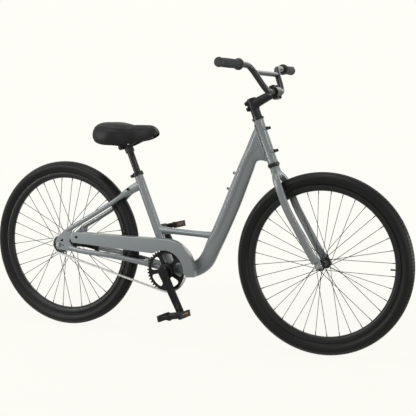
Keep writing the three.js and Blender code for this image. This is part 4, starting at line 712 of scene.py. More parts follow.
def addStrut(shape):
    flare = [(0, 1.5), (0.08, 1.32), (0.14, 1.2), (0.24, 1), (0.5, 0.97), (0.76, 1), (0.88, 1.15), (1, 1.6)]
    flare = [vec(way, share, 0) for way, share in flare]
    start, end, radius = onSeat(framePart["strutFrom"]), onSpan(0.455, 0.335), framePart["strutRadius"]
    up = (end - start).normalized().cross(yAxis)
    points = [curvePoint(flare, i / 40) for i in range(41)]
    addRings(shape, [oval(start.lerp(end, clamped(p.x)), yAxis * radius, up * radius * p.y, 28, 2) for p in points])


def onStay(reach, dropShare, side):
    return vec(rearAxle.x + reach * bike["wheelRadius"], side, rearAxle.z - dropShare * bike["drop"])


stayTop = onSeat(framePart["stayTop"])
stayLean = atan2(stayTop.z - rearAxle.z, stayTop.x - rearAxle.x)
stayOut = vec(-sin(stayLean), 0, cos(stayLean))


def onSeatstay(reach, degrees, side):
    return vec(*spot(reach * bike["wheelRadius"], stayLean + radians(degrees), (rearAxle.x, rearAxle.z)), side).xzy


def addStays(shape):
    end, clear = framePart["stayEnd"], framePart["stayClear"]
    low = [vec(bracket.x - 19.2, -20.4, bracket.z + 4.1), onStay(1.187, 0.757, -28.56), onStay(1.027, 0.639, -34),
           onStay(0.854, 0.521, -clear), onStay(0.579, 0.375, -end * 0.88), onStay(0.304, 0.278, -end),
           onStay(0.145, 0.153, -end)]
    high = [onSeatstay(0.227, 20.8, -end), onSeatstay(0.403, 9, -end), onSeatstay(0.717, 3, -end * 0.9),
            onSeatstay(0.954, 2.1, -clear * 0.85), onSeatstay(1.1, 2.55, -13.2),
            stayTop + stayOut * framePart["stayLift"] + vec(0, -5.2, 0)]

    def halves(w):
        return lerp(7.5, 10, w), lerp(9.5, 16.5, clamped(w * 3.6 - 2.3))

    square = framePart["squareness"]
    half = addRings(newShape(), sweepRings(low, 56, 24, yAxis, lambda w: (7.5, lerp(11.2, 9.8, w)), square))
    rings = sweepRings(high, 64, 24, yAxis, halves, square)
    addRings(half, [[clearOf(p, seatFrame, 17.0, -1) for p in ring] for ring in rings])
    addBothSides(shape, half)


def arc(radius, start, end, steps, centre=(0, 0)):  # from one angle to another, in degrees
    return [spot(radius, radians(lerp(start, end, k / steps)), centre) for k in range(steps + 1)]


def circle(radius, count=40):
    return [spot(radius, 2 * pi * k / count) for k in range(count)]


def addDropouts(shape):
    size, end, half, slot = (framePart[key] for key in ("dropout", "stayEnd", "dropoutHalf", "slot"))
    corners = [(0.48, 0.72), (0.3, 0.62), (-0.08, 0.28), (-0.19, 0), (-0.1, -0.2), (0.6, -0.23), (0.64, -0.06),
               (0.47, 0.12), (0.62, 0.66)]
    outline, opening = [], [(-16.8, slot), *arc(slot, 90, -90, 8), (-16.4, -slot)]
    for x, z in roundedOutline([(x * size, z * size) for x, z in corners], 9, 5):
        if x < -10 and abs(z) < slot:
            outline, opening = outline + opening, []
        else:
            outline.append((x, z))
    eyelet = arc(3.2, 0, -337.5, 15, (20, -3))
    window = roundedOutline([(2.5, 14.5), (20, 25), (20, 13)], 2.2, 4)
    addBothSides(shape, addPlate(newShape(), outline, -end - half, -end + half, [eyelet, window], 0.5,
                                 Matrix.Translation(rearAxle)))


# Screws: depth of the boss with its foot and top radius; head radius, head height, shank radius and length
screwKinds = {
    "rack": ((13, 5.6, 5.2), (5.4, 6, 2.6, 9)), "bottle": ((14, 6.5, 5.6), (4.6, 4, 2.3, 9)),
    "stay": ((22, 6, 6), (4.6, 4, 2.3, 9)), "guard": ((), (4.8, 3, 2.3, 8)), "pinch": ((), (4.4, 5, 2.4, 10)),
}
tubeFoot, tubeTop = onSpan(0.539, 0.657), onSpan(0.68, 0.992)
tubeRun = (tubeTop - tubeFoot).normalized()
tubeOut = vec(-tubeRun.z, 0, tubeRun.x)
seats = {("rack", label, name): (onSteer(levels["tube"] + up, 24, side * 12), steerAhead)
         for label, up in (("upper", 128), ("lower", 41)) for name, side in sides}
seats |= {("bottle", label): (tubeFoot.lerp(tubeTop, 0.51) + tubeRun * way * 32 + tubeOut * 6.8, tubeOut)
          for label, way in (("upper", 1), ("lower", -1))}
seats |= {("stay", name): (onSeatstay(1.135, 0, side * 24) + stayOut * 20.9, yAxis * side) for name, side in sides}
guardTop = bracket.z + guardPart["outer"]
rearScrew = vec(bracket.x - guardPart["rear"] + guardPart["screwIn"], 0, guardTop - guardPart["screwLow"])
frontScrew = onSeat((guardPart["outer"] - guardPart["wall"] - 9.5) / sin(seatTurn))


def addBosses(shape):
    for (kind, *_), (seat, out) in seats.items():
        deep, foot, top = screwKinds[kind][0]
        addRod(shape, seat - out * deep, seat, foot, 20, top, 0.6)
    addRod(shape, onStay(1.086, 0.68, -31.3), onStay(1.086, 0.68, 31.3), 7, 20)
    low, high, left, right = rearScrew.z - 12.5, rearScrew.z + 12.5, rearAxle.x + 40, rearScrew.x + 12.5
    lug = roundedOutline([(left, high), (left, low), (right, low), (right, high)], 6.2, 5)
    addPlate(shape, lug, -61.0, -55.6, (), 0.5)
    addRod(shape, rearScrew - yAxis * 58, rearScrew - yAxis * 63.9, 6.7, 24, None, 0.5)
    addRod(shape, frontScrew - yAxis * 8, frontScrew - yAxis * 35.9, 6.2, 24, None, 0.6)


def makeFrame():
    head, seat, shell = framePart["head"], framePart["seat"], framePart["shell"]
    low, high = levels["tube"], levels["tubeTop"]
    bore, r, run = head["bore"], head["radius"], head["lipLength"]
    lip = r + head["lip"]
    profile = [(bore, low), (lip - 0.6, low), (lip, low + 0.8), (lip, low + run), (r, low + run + 4),
               (r, high - run - 4), (lip, high - run), (lip, high - 0.8), (lip - 0.6, high), (bore, high)]
    shape = latheShape(steerFrame, (56, loopOf(profile)))
    r, bore, top = seat["radius"], seat["bore"], seat["length"]
    rows = [[polar(r, 2 * pi * k / 48) for k in range(48)]]
    rows[0] = [vec(p.x, p.y, sqrt(20.5 ** 2 - p.x ** 2)) for p in rows[0]]  # the foot follows the shell
    for radius, height in ((r, 60), (r, top - 0.7), (r - 0.7, top), (bore, top), (bore, top - seat["depth"])):
        rows.append([polar(radius, 2 * pi * k / 48, height) for k in range(48)])
    addRings(shape, [[seatFrame @ p for p in row] for row in rows])
    half = shell["width"] / 2
    addLathe(shape, band(shell["bore"], shell["radius"], -half, half, 1), 56, wheelAxes(bracket))
    for add in (addStrut, addStays, addDropouts, addBosses):
        add(shape)
    return shape


finishPiece("frameTubes", makeFrame(), "frame", "frame", "slatePaint", 30)
finishPiece("downTube", makeDownTube(), "frame", "frame", "slatePaint", 40)
finishPiece("headWelds", makeWelds(), "frame", "frame", "slatePaint", 60)
print("stage: frame")


# Chain guard
def guardStations():  # outer edge point, inward direction, width, and whether the lip is there
    g = guardPart
    stations, rearX = [], bracket.x - g["rear"]
    notch, notchLow = spot(g["inner"], 0.7 * pi, (bracket.x, bracket.z))
    runs = [0.15, 0.6, 1.4, 2.8, 4.8, 7, 9, 20, 32, 46.7, 47.3] + [60 + k * (g["rear"] - 60) / 28 for k in range(28)]
    for dx in runs:
        x = rearX + dx
        low = bracket.z + sqrt(max(g["inner"] ** 2 - (x - bracket.x) ** 2, 0))
        if x < notch:
            low = lerp(bracket.z + g["low"], notchLow, dx / (notch - rearX))
        drop = g["corner"] - sqrt(g["corner"] ** 2 - max(g["corner"] - dx, 0) ** 2)
        stations.append((vec(x, 0, guardTop - drop), vec(0, 0, -1), guardTop - low - 2 * drop,
                         x > bracket.x - g["lipRear"] - 0.1))
    for k in range(41):
        out = polar(1, lerp(pi / 2, radians(-6), k / 40)).xzy
        wide = lerp(g["outer"] - g["inner"], 29, max(0.0, (k - 38) / 2))
        stations.append((bracket + out * g["outer"], -out, wide, True))
    return stations


def makeGuard():
    g = guardPart
    rings = []
    face, wall, r = g["faceOut"], g["wall"], g["round"]
    ri = r - wall
    for point, inward, wide, lipped in guardStations():
        lip = g["lipEnd"] if lipped else face + r + 0.4
        section = [(wide, face), (r, face)]
        section += [(r - r * sin(a * pi / 10), face + r - r * cos(a * pi / 10)) for a in range(1, 6)]
        section += [(0, lip), (wall, lip)]
        section += [(r - ri * sin(a * pi / 6), face + r - ri * cos(a * pi / 6)) for a in range(3, -1, -1)]
        section += [(wide, face + wall)]
        rings.append([point + inward * d + vec(0, y, 0) for d, y in section])
    shape = addRings(newShape(), rings, False)
    left, right, high, low = frontScrew.x - 9, frontScrew.x + 9, guardTop - 0.9, guardTop - 19
    tab = roundedOutline([(left, high), (right, high), (right, low), (left, low)], 4.5)
    return addPlate(shape, tab, -38, -36.2, (), 0.3)


finishPiece("chainGuardCover", makeGuard(), "frame", "chain_guard", "slatePaint", 40)


# Screws: a round head with a hexagonal socket, on a plain shank
def addBolt(shape, seat, out, head, height, shank, length, socket):
    c = min(0.7, head * 0.15)
    addLathe(shape, [(0, -length), (shank, -length), (shank, 0), (head, 0), (head, height - c), (head - c, height),
                     (socket * 1.12, height), (socket, height - 0.3), (socket, height * 0.35), (0, height * 0.3)],
             24, along(seat, seat + out))


def makeBolt(kind, seat, out):
    shape, size = newShape(), screwKinds[kind][1]
    addBolt(shape, seat, out, *size, size[0] * 0.52)
    return shape


for names, (seat, out) in seats.items():
    kind, *rest = names
    finishPiece(f"{kind}Bolt{''.join(rest)}", makeBolt(kind, seat + out * 0.3, out), "frame",
                f"{kind}_bolt_{'_'.join(rest)}", "blackPaint")
for label, seat, reach in (("Rear", rearScrew, -66.3), ("Front", frontScrew, -38.3)):
    finishPiece(f"guardScrew{label}", makeBolt("guard", seat + yAxis * reach, -yAxis), "frame",
                f"chain_guard_bolt_{label.lower()}", "blackPaint")
print("stage: guard and screws")

# Steering parts, in the frame of the steering axis
steerPart = {
    "legSide": 51, "crown": 386, "legWide": 11, "legDeep": 14, "stem": 19, "stemSide": 6.9, "clampAhead": 95,
    "clampUp": 11, "clamp": 21, "clampBore": 13.1, "clampHalf": 23,
}
stemLow, stemHigh = levels["stem"], levels["stemTop"]
stemMiddle = (stemLow + stemHigh) / 2
clampMiddle = stemMiddle + steerPart["clampUp"]
# Height, ahead and side of each point of a fork leg
legShares = [(0.995, 0.02, 0.1), (0.965, 0.05, 0.42), (0.915, 0.1, 0.78), (0.85, 0.16, 0.95), (0.64, 0.21, 1),
             (0.43, 0.43, 1), (0.22, 0.67, 1), (0.07, 0.88, 1.01)]


def makeFork():
    wide, deep, c, ahead = steerPart["legWide"], steerPart["legDeep"], steerPart["crown"], bike["forkOffset"]
    path = [vec(x * ahead, -y * steerPart["legSide"], up * c - deep) for up, x, y in legShares]

    def halves(way):
        taper = max(0, way * 1.3 - 0.3)
        return lerp(wide, wide * 0.85, taper), lerp(deep, deep * 1.04, taper)

    rings = sweepRings(path, 72, 28, yAxis, halves, 2.2)
    for p in (p for ring in rings for p in ring if p.z < 84):  # room for the wheel's nuts
        p.y = min(p.y, lerp(-50.4, -38, clamped((p.z - 34) / 50)))
    half = addRings(newShape(), [[steerFrame @ p for p in ring] for ring in rings])
    outline = [(44, 36), (44, -8), (45, -12), (48, -14.5), (50, -15), (51.7, -15),
               *arc(framePart["slot"], 180, 0, 10, (ahead, 0)), (62.3, -15), (65, -15), (68, -13.5), (69.8, -10),
               (70, -6), (67.4, 30)]
    addPlate(half, outline, -55.3, -50.3, (), 0.5, steerFrame)
    profile = [(0, -46.8), (7, -45.6), (12.6, -41.4), (16.6, -34), (18.6, -26), (18.8, -14), (18.2, -1), (18.2, 0),
               (19, 0.4), (19, 2.6), (18.4, 3), (14.3, 3), (14.3, 650 - c), (12, 650 - c), (12, 0), (0, 0)]
    return addLathe(addBothSides(newShape(), half), [(r, c + up) for r, up in profile], 48, steerFrame)


def makeCup(low, length, upward):
    bore, big, slim, high = 14.9, 22.4, 19.3, low + length
    ring = [(bore, low), (slim, low), (slim + 0.8, low + 0.8), (big - 0.6, low + length * 0.3),
            (big, low + length * 0.38), (big, high - 0.8), (big - 0.8, high), (bore, high)]
    if upward:
        ring = [(bore, low), (big - 0.8, low), (big, low + 0.8), (big, low + length * 0.42),
                (big - 0.7, low + length * 0.48), (18.2, low + length * 0.52), (17.9, high - 0.5), (17.4, high),
                (bore, high)]
    return latheShape(steerFrame, (56, loopOf(ring)))


def makeStem():
    low, high, r, side = stemLow, stemHigh, steerPart["stem"], steerPart["stemSide"]
    shape = latheShape(steerFrame, (48, band(14.6, r, low, high, 1)))
    for y in (-side, side):
        addBlock(shape, vec(-r + 3, y, stemMiddle), (10, 10.8, high - low - 1), 2.2, steerFrame)
        for share in (0.24, 0.76):
            addBlock(shape, vec(-r - 2.4, y, lerp(low, high, share)), (14, 10.6, 15.5), 3.4, steerFrame)

    def halves(w):
        tall = r * lerp(0.97, 0.84, min(1, w * 1.6)) + 1.5 * max(0, w - 0.7)
        return r * lerp(0.95, 0.86, min(1, w * 2.2)), tall

    path = [vec(x, 0, stemMiddle + up) for x, up in ((8, 1), (34, 4), (66, 7.6), (90, 10.8))]
    addRings(shape, sweepRings(path, 30, 32, yAxis, halves, 2.6, steerFrame))
    addClampHalf(shape, (91, 269), (269, 91))
    for up in (-21, 21):
        addBlock(shape, vec(steerPart["clampAhead"] - 4.6, 0, clampMiddle + up), (7, 46, 10), 1.6, steerFrame)
    return shape


def addClampHalf(shape, outer, inner):
    centre, half = (steerPart["clampAhead"], clampMiddle), steerPart["clampHalf"]
    outline = arc(steerPart["clamp"], *outer, 28, centre) + arc(steerPart["clampBore"], *inner, 24, centre)
    addPlate(shape, outline, -half, half, (), 1.0, steerFrame)


def makeFaceplate():
    shape = newShape()
    addClampHalf(shape, (-87, 87), (85, -85))
    for up in (-1, 1):
        addBlock(shape, vec(99.4, 0, clampMiddle + up * 21.2), (6.6, 46, 10.4), 1.6, steerFrame)
        for side in (-1, 1):
            seat = steerFrame @ vec(102.6, side * 15.2, clampMiddle + up * 21.4)
            addBolt(shape, seat, steerAhead, 4.0, 4.4, 2.4, 9, 2.1)
    return shape


def makeTopCap():
    cap = [(0, 0), (16.2, 0), (17, 0.7), (17, 2.2), (16.2, 3), (9.5, 3.9), (5.4, 4), (5.2, 2.2), (0, 2)]
    bolt = [(0, 1), (4.4, 1), (4.4, 3.6), (3.9, 4), (2.5, 4), (2.3, 2), (0, 2)]
    low = stemHigh + 0.3
    parts = ((48, cap), (24, bolt))
    return latheShape(steerFrame, *((count, [(r, low + up) for r, up in part]) for count, part in parts))


def makeSpacers():
    low = levels["spacer"]
    heights = ((low, low + 10.1), (low + 10.3, low + 20.6))
    return latheShape(steerFrame, *((48, band(14.6, 17.5, *ends, 0.5)) for ends in heights))


finishPiece("forkLegs", makeFork(), "steering", "fork", "slatePaint")
finishPiece("cupLower", makeCup(levels["cup"], 13.4, False), "frame", "headset_lower_cup", "glossBlackAlloy")
finishPiece("cupUpper", makeCup(levels["upperCup"], 17.4, True), "frame", "headset_upper_cup", "glossBlackAlloy")
finishPiece("spacerRings", makeSpacers(), "steering", "steerer_spacer", "glossBlackAlloy")
finishPiece("stemBody", makeStem(), "steering", "stem", "blackAlloy")
finishPiece("stemFront", makeFaceplate(), "steering", "stem_faceplate", "blackAlloy")
finishPiece("stemCap", makeTopCap(), "steering", "stem_top_cap", "glossBlackAlloy")
for label, share in (("lower", 0.24), ("upper", 0.76)):
    radius, up = steerPart["stem"], lerp(stemLow, stemHigh, share)
    seat = steerFrame @ vec(-radius * 1.15, -radius * 0.65 - 0.3, up)
    finishPiece(f"pinchBolt{label}", makeBolt("pinch", seat, -yAxis), "steering", f"stem_bolt_{label}", "blackSteel")
print("stage: steering")

# Handlebar and grips, in world axes about the clamp
barPlace = Matrix.Translation(onSteer(clampMiddle, steerPart["clampAhead"]))
barPart = {"width": 693, "rise": 91, "sweep": 70, "radius": 11.1, "clamp": 12.7, "clampHalf": 32, "cross": 9,
           "gripLength": 140, "ribPitch": 2.65}
barShares = [(0, 0), (0.11, 0), (0.19, 0.035), (0.235, 0.16), (0.345, 0.82), (0.395, 0.965), (0.47, 1), (0.6, 1),
             (1, 1.01)]


def barPoint(out, up, side):
    swept = max(0, out - 0.5) * 0.55 + up * 0.7
    return vec(-swept * barPart["sweep"], side * out * barPart["width"] / 2, up * barPart["rise"])


def makeBar():
    r, c, h, cross = (barPart[key] for key in ("radius", "clamp", "clampHalf", "cross"))
    path = [barPoint(*share, -1) for share in barShares[:0:-1]] + [barPoint(*share, 1) for share in barShares]
    shape = addRings(newShape(), sweepRings(path, 176, 24, xAxis, lambda w: (r, r), 2, barPlace))
    profile = [(0, -h - 9), (r * 0.9, -h - 9), (r, -h - 8), (c, -h)]
    profile += [(c + (0.25 if k % 2 else 0), -h + 2 + k * (2 * h - 4) / 40) for k in range(41)]
    profile += [(c, h), (r, h + 8), (r * 0.9, h + 9), (0, h + 9)]
    addLathe(shape, profile, 32, barPlace @ wheelAxes(vec(0, 0, 0)))
    left, right = (barPoint(0.33, 0.74, side) for side in (1, -1))
    addRod(shape, barPlace @ (right + yAxis * 4.4), barPlace @ (left - yAxis * 4.4), cross)
    bead = loopOf([(cross - 1, -1.5), (cross + 1.2, -1), (cross + 0.9, 0.8), (cross - 1, 1.5)])
    for start in (right + yAxis * 9.5, left - yAxis * 9.5):
        addLathe(shape, bead, 24, barPlace @ along(start, start + yAxis))
    return shape


def makeGrip(side):
    end, length = barPoint(1, 1.01, side), barPart["gripLength"]
    way = (end - barPoint(0.6, 1, side)).normalized()
    outer = end + way * 3.5
    profile = [(0, 0), (12, 0), (15.4, 0.8), (16.4, 2.4), (17.2, 6), (17.4, 7.4), (16.2, 8.6)]
    rib = 10.5
    while rib < length - 12:
        swell = 15.4 + 0.75 * sin(pi * (rib - 10) / (length - 24))
        profile += [(swell - 0.55, rib), (swell, rib + 0.35), (swell, rib + 1.5), (swell - 0.55, rib + 1.85)]
        rib += barPart["ribPitch"]
    profile += [(15.6, length - 9.6), (17.5, length - 8), (20, length - 7), (20.5, length - 6.2), (20.5, length - 1.2),
                (19.8, length), (11.9, length), (11.9, 3.2), (0, 3.2)]
    return latheShape(barPlace @ along(outer, outer - way), (40, profile))


finishPiece("barTubes", makeBar(), "steering", "handlebar", "barPaint")
for sideName, side in sides:
    finishPiece(f"gripSleeve{sideName}", makeGrip(side), "steering", f"grip_{sideName}", "gripRubber", 30)
print("stage: handlebar")

# Drive: chain, chainring, sprocket, cranks and pedals
drive = {
    "linkHalf": 4, "outerPlate": 3.0, "innerPlate": 1.9, "plateThick": 1.0, "roller": 3.9, "ringHalf": 1.3,
    "cogHalf": 1.2, "toothRise": 3.6, "spiderRadius": 31, "spiderBore": 14.9, "windowNear": 33, "windowFar": 67,
    "arm": 17, "armLength": 170, "armInside": 69, "armThick": 14.5, "crankAngle": 27.8,
}
chainLine, crankTurn = bike["chainLine"], radians(drive["crankAngle"])
chainLean = asin((ringRadius - cogRadius) / chainstay)
chainTilt = atan2(rearAxle.z - bracket.z, rearAxle.x - bracket.x)
tangentTop, tangentLow = chainTilt - pi / 2 + chainLean, chainTilt + pi / 2 - chainLean
straightLinks = sqrt(chainstay ** 2 - (ringRadius - cogRadius) ** 2) / bike["pitch"]
ringStep, cogStep = 2 * pi / bike["ringTeeth"], 2 * pi / bike["cogTeeth"]
cogPhase = tangentTop + (ceil(straightLinks) - straightLinks) * cogStep


def chainJoint(joint):
    def onPitch(centre, radius, angle):
        return vec(centre.x + radius * cos(angle), -chainLine, centre.z + radius * sin(angle))
    cogLinks = bike["cogTeeth"] * (0.5 - chainLean / pi)
    if joint <= straightLinks:
        start, end = onPitch(bracket, ringRadius, tangentTop), onPitch(rearAxle, cogRadius, tangentTop)
        return start.lerp(end, joint / straightLinks)
    rest = joint - straightLinks
    if rest <= cogLinks:
        return onPitch(rearAxle, cogRadius, tangentTop + rest * cogStep)
    back = rest - cogLinks
    if back <= straightLinks:
        start, end = onPitch(rearAxle, cogRadius, tangentLow), onPitch(bracket, ringRadius, tangentLow)
        return start.lerp(end, back / straightLinks)
    return onPitch(bracket, ringRadius, tangentLow + (back - straightLinks) * ringStep)


def makeChain():
    shape = newShape()
    joints = [chainJoint(i) for i in range(bike["links"])]
    half, thick, length = drive["linkHalf"], drive["plateThick"], bike["pitch"]
    right = [spot(half, radians(degrees), (length, 0)) for degrees in (-75, -45, 0, 45, 75)]
    left = [spot(half, radians(degrees)) for degrees in (105, 135, 180, 225, 255)]
    outline = [*right, (length / 2, half * 0.68), *left, (length / 2, -half * 0.68)]
    for i, joint in enumerate(joints):
        run = joints[(i + 1) % len(joints)] - joint
        place = axes(joint, run, run.cross(yAxis))
        gap = drive["outerPlate" if i % 2 else "innerPlate"]
        for low in (-gap - thick, gap):
            addPlate(shape, outline, low, low + thick, (), 0.0, place)
        for reach, radius, count in ((drive["outerPlate"] + thick * 0.95, 1.7, 8), (2.0, drive["roller"], 12)):
            addRod(shape, joint - yAxis * reach, joint + yAxis * reach, radius, count)
    return shape


def toothedOutline(radius, teeth, phase):
    rise = drive["toothRise"]
    flank = [(-0.5, -4.1), (-0.36, -3.4), (-0.25, -1.4), (-0.17, rise * 0.45), (-0.1, rise * 0.9), (0, rise)]
    flank += [(-share, up) for share, up in flank[-2:0:-1]]
    return [spot(radius + up, phase + 2 * pi * (tooth + 0.5 + share) / teeth)
            for tooth in range(teeth) for share, up in flank]


def makeRing():
    near, far, bore = drive["windowNear"], drive["windowFar"], drive["spiderBore"]
    # One half of a window: radius and share of the angle, from the inner corner to the outer middle
    window = [(near * 0.97, 0.5), (near, 1), (near * 1.25, 1.02), (near * 1.55, 1), (far * 0.9, 0.95),
              (far * 0.975, 0.8), (far, 0.6), (far, 0.3)]
    window = [*[(r, -share) for r, share in window[1:]], (far, 0), *window[::-1], (near * 0.965, 0),
              (near * 0.97, -0.5)]
    holes = [circle(bore)]
    for k in range(5):
        middle = crankTurn - pi / 2 + k * 2 * pi / 5
        holes.append(smoothRing([spot(r, middle + share * (pi / 5 - drive["arm"] / 2 / r)) for r, share in window], 3))
    inside, outside = -chainLine + drive["ringHalf"], -chainLine - drive["ringHalf"]
    shape = addPlate(newShape(), toothedOutline(ringRadius, bike["ringTeeth"], tangentTop), outside, inside, holes, 0.4,
                     Matrix.Translation(bracket))
    r, low = drive["spiderRadius"], outside - 7.6
    ring = [(bore, inside), (24, inside), (24, outside - 0.6), (r, outside - 0.4), (r - 0.6, outside - 2.4),
            (r - 5, low + 1.4), (r - 8, low), (bore, low)]
    return addLathe(shape, loopOf(ring), 56, wheelAxes(bracket))


def makeSprocket():
    half = drive["cogHalf"]
    outline = toothedOutline(cogRadius, bike["cogTeeth"], cogPhase)
    shape = addPlate(newShape(), outline, -chainLine - half, -chainLine + half, [circle(12)], 0.35,
                     Matrix.Translation(rearAxle))
    ring = [(6.2, -52), (14.2, -52), (15.2, -51), (15.2, -49.6), (16, -49.2), (16, -38), (15.4, -37.4), (6.2, -37.4)]
    return addLathe(shape, loopOf(ring), 40, wheelAxes(rearAxle))


def armRun(side):  # from the bracket to the pedal
    return vec(-side * sin(crankTurn), 0, side * cos(crankTurn))


# Stations along a crank arm: share of its length, half width, and whether the channel in its face is there
armStations = [
    (-0.106, 5.5, 0), (-0.098, 9.5, 0), (-0.075, 14, 0), (-0.03, 17.4, 0), (0, 18, 0), (0.05, 17.9, 0), (0.11, 17.2, 0),
    (0.15, 16.9, 0), (0.17, 16.6, 1), (0.3, 15.8, 1), (0.5, 15, 1), (0.7, 14.5, 1), (0.84, 14.2, 1), (0.86, 14.1, 0),
    (0.96, 14, 0), (1.0, 13.7, 0), (1.03, 12, 0), (1.045, 10, 0), (1.055, 6.5, 0),
]
# The face from its middle line to its edge: share of the half width and the channel's depth
armChannel = [(0.0, -1.9), (0.42, -1.9), (0.56, -0.9), (0.68, 0), (0.8, 0)]


def makeArm(side):
    swing = armRun(side)
    up = swing.cross(yAxis)
    length, inside, thick = drive["armLength"], drive["armInside"], drive["armThick"]
    rings = []
    for way, wide, deep in armStations:
        middle = inside + thick * lerp(0.5, 0.55, clamped(way))
        half = thick / 2 - (1.0 if way < -0.1 or way > 1.05 else 0.0)
        face = [(x, half + depth * deep) for x, depth in armChannel]
        face += [(0.93, half - 1.0), (1, half - 2.6), (1, -half + 2.6)]
        section = [(-x, y) for x, y in face[:0:-1]] + face + [(0.84, -half), (-0.84, -half)]
        centre = bracket + swing * way * length
        rings.append([centre + up * x * wide + vec(0, side * (middle + y), 0) for x, y in section])
    shape = addRings(newShape(), rings)
    tip, face = bracket + swing * length, inside + thick
    end = chainLine if side < 0 else 37.8
    boss = [(8.7, end), (14.6, end), (14.6, inside + 1), (8.7, inside + 1)]
    cap = [(0, -1), (13.4, -1), (13.4, 0.05), (12.6, 0.4), (10.8, 0.4), (10.4, -0.6), (0, -0.8)]
    back = [(0, 0.9), (7, 0.9), (7.4, 0.2), (4, 0.1), (3.4, 1), (0, 1)]
    addLathe(shape, [(r, side * y) for r, y in loopOf(boss)], 40, wheelAxes(bracket))
    addLathe(shape, [(r, side * (face + y)) for r, y in cap], 40, wheelAxes(bracket))
    for low, high, foot, last in ((face - 6, 91.6, 8.7, 8.7), (80, 169, 6.2, 5)):
        addRod(shape, tip + yAxis * side * low, tip + yAxis * side * high, foot, 24, last, 0.5)
    return addLathe(shape, [(r, side * (inside + y)) for r, y in back], 24, wheelAxes(tip))


def makeSpindle():
    end = drive["armInside"] + drive["armThick"] - 1.5
    shape = latheShape(wheelAxes(bracket), (32, band(0, 8.4, -end, end, 0.8)))
    bolt = [(0, 0), (6.6, 0), (6.6, 1.6), (6.2, 2.2), (4.2, 2.3), (4.0, 0.9), (0, 0.9)]
    for out in (-yAxis, yAxis):
        seat = bracket + out * (end - 0.8)
        addLathe(shape, bolt, 24, along(seat, seat + out))
    return shape


def makeBracketCup(side):
    face, out, inner, bore = 34.3, 37.5, 14.3, 9.5
    ring = [(bore, inner), (16.7, inner), (16.7, face), (20.2, face), (21, face + 0.8), (21, out - 0.8), (20.2, out),
            (13.5, out), (13, out - 1.2), (bore, out - 1.2)]
    return latheShape(wheelAxes(bracket), (48, loopOf([(r, side * y) for r, y in ring])))


pedalPart = {"length": 100, "width": 84, "tilt": 12, "start": 92, "barrel": 12, "frame": 12, "lens": (3.7, 46, 11)}
pedalMiddle = pedalPart["start"] + pedalPart["width"] / 2


def pedalPlace(side):
    tip = bracket + armRun(side) * drive["armLength"]
    return Matrix.Translation(tip) @ Matrix.Rotation(-radians(pedalPart["tilt"]), 4, "Y")


def makePedal(side):
    p, shape, flat, middle = pedalPart, newShape(), pedalPlace(side), side * pedalMiddle
    halfLength, halfWidth = p["length"] / 2, p["width"] / 2
    # Drawn flat: the plate's local X along the tread, local Z across, thickness upright
    swap = Matrix(((1, 0, 0), (0, 0, 1), (0, 1, 0))).to_4x4()
    level = flat @ Matrix.Translation(vec(0, middle, 0)) @ swap

    def box(left, right, half, radius, steps):
        return roundedOutline([(left, -half), (right, -half), (right, half), (left, half)], radius, steps)

    near, far = p["barrel"] + 1, halfLength - p["frame"]
    holes = [box(left, right, halfWidth - 12, 3, 3) for left, right in ((-far, -near), (near, far))]
    addPlate(shape, box(-halfLength, halfLength, halfWidth, 9, 5), -7.4, 7.4, holes, 0.8, level)
    for end in (-1, 1):
        for across in (-32.5, 32.5):
            addBlock(shape, vec(end * 43.6, middle + across, 0), (12, 18, 23.6), 1.8, flat)
        for up in (-1, 1):
            addBlock(shape, vec(end * 43.8, middle, up * 9.3), (11.5, 50, 5.2), 1.0, flat)
            for y in (middle - 33 + k * 11 for k in range(7)):
                addRod(shape, flat @ vec(end * 44, y, up * 10.5), flat @ vec(end * 44, y, up * 12), 1.9, 8, 1.5, 0.2)
        for up in (-1, 1):
            for x in (end * (17 + k * 8) for k in range(3)):
                y = middle - side * 36
                addRod(shape, flat @ vec(x, y, up * 7), flat @ vec(x, y, up * 9.6), 1.7, 8, 1.3, 0.2)
    low, high = p["start"] + 0.2, p["start"] + p["width"] - 0.2
    barrel = [(6.6, low), (9.5, low), (11.6, low + 2), (11.6, low + 9), (10.4, low + 12), (10.4, high - 12),
              (11.6, high - 9), (11.6, high - 1.5), (10.4, high), (0, high), (0, high - 4), (6.6, high - 4)]
    return addLathe(shape, [(r, side * y) for r, y in loopOf(barrel)], 32, flat @ wheelAxes(vec(0, 0, 0)))


finishPiece("rollerChain", makeChain(), "frame", "chain", "chainSteel", 40)
finishPiece("ringPlate", makeRing(), "crankset", "chainring", "blackPaint")
finishPiece("cogPlate", makeSprocket(), "sprocket", "rear_sprocket", "blackSteel")
finishPiece("crankShaft", makeSpindle(), "crankset", "crank_spindle", "blackSteel")
for sideName, side in sides:
    finishPiece(f"crankLever{sideName}", makeArm(side), "crankset", f"crank_arm_{sideName}", "blackPaint", 32)
    finishPiece(f"bracketCup{sideName}Ring", makeBracketCup(side), "frame", f"bracket_cup_{sideName}", "blackPaint")
    body, thick = f"pedal_{sideName}", pedalPart["lens"][0]
    finishPiece(f"pedalBody{sideName}", makePedal(side), body, body, "blackPlastic")
    for endName, end in (("front", 1), ("rear", -1)):
        centre = vec(end * (pedalPart["length"] - thick) / 2, side * pedalMiddle, 0)
        lens = addBlock(newShape(), centre, pedalPart["lens"], 0.7, pedalPlace(side))
        node = f"pedal_reflector_{sideName}_{endName}"
        finishPiece(f"pedalLens{sideName}{endName}", lens, body, node, "amberReflector")
print("stage: drive")


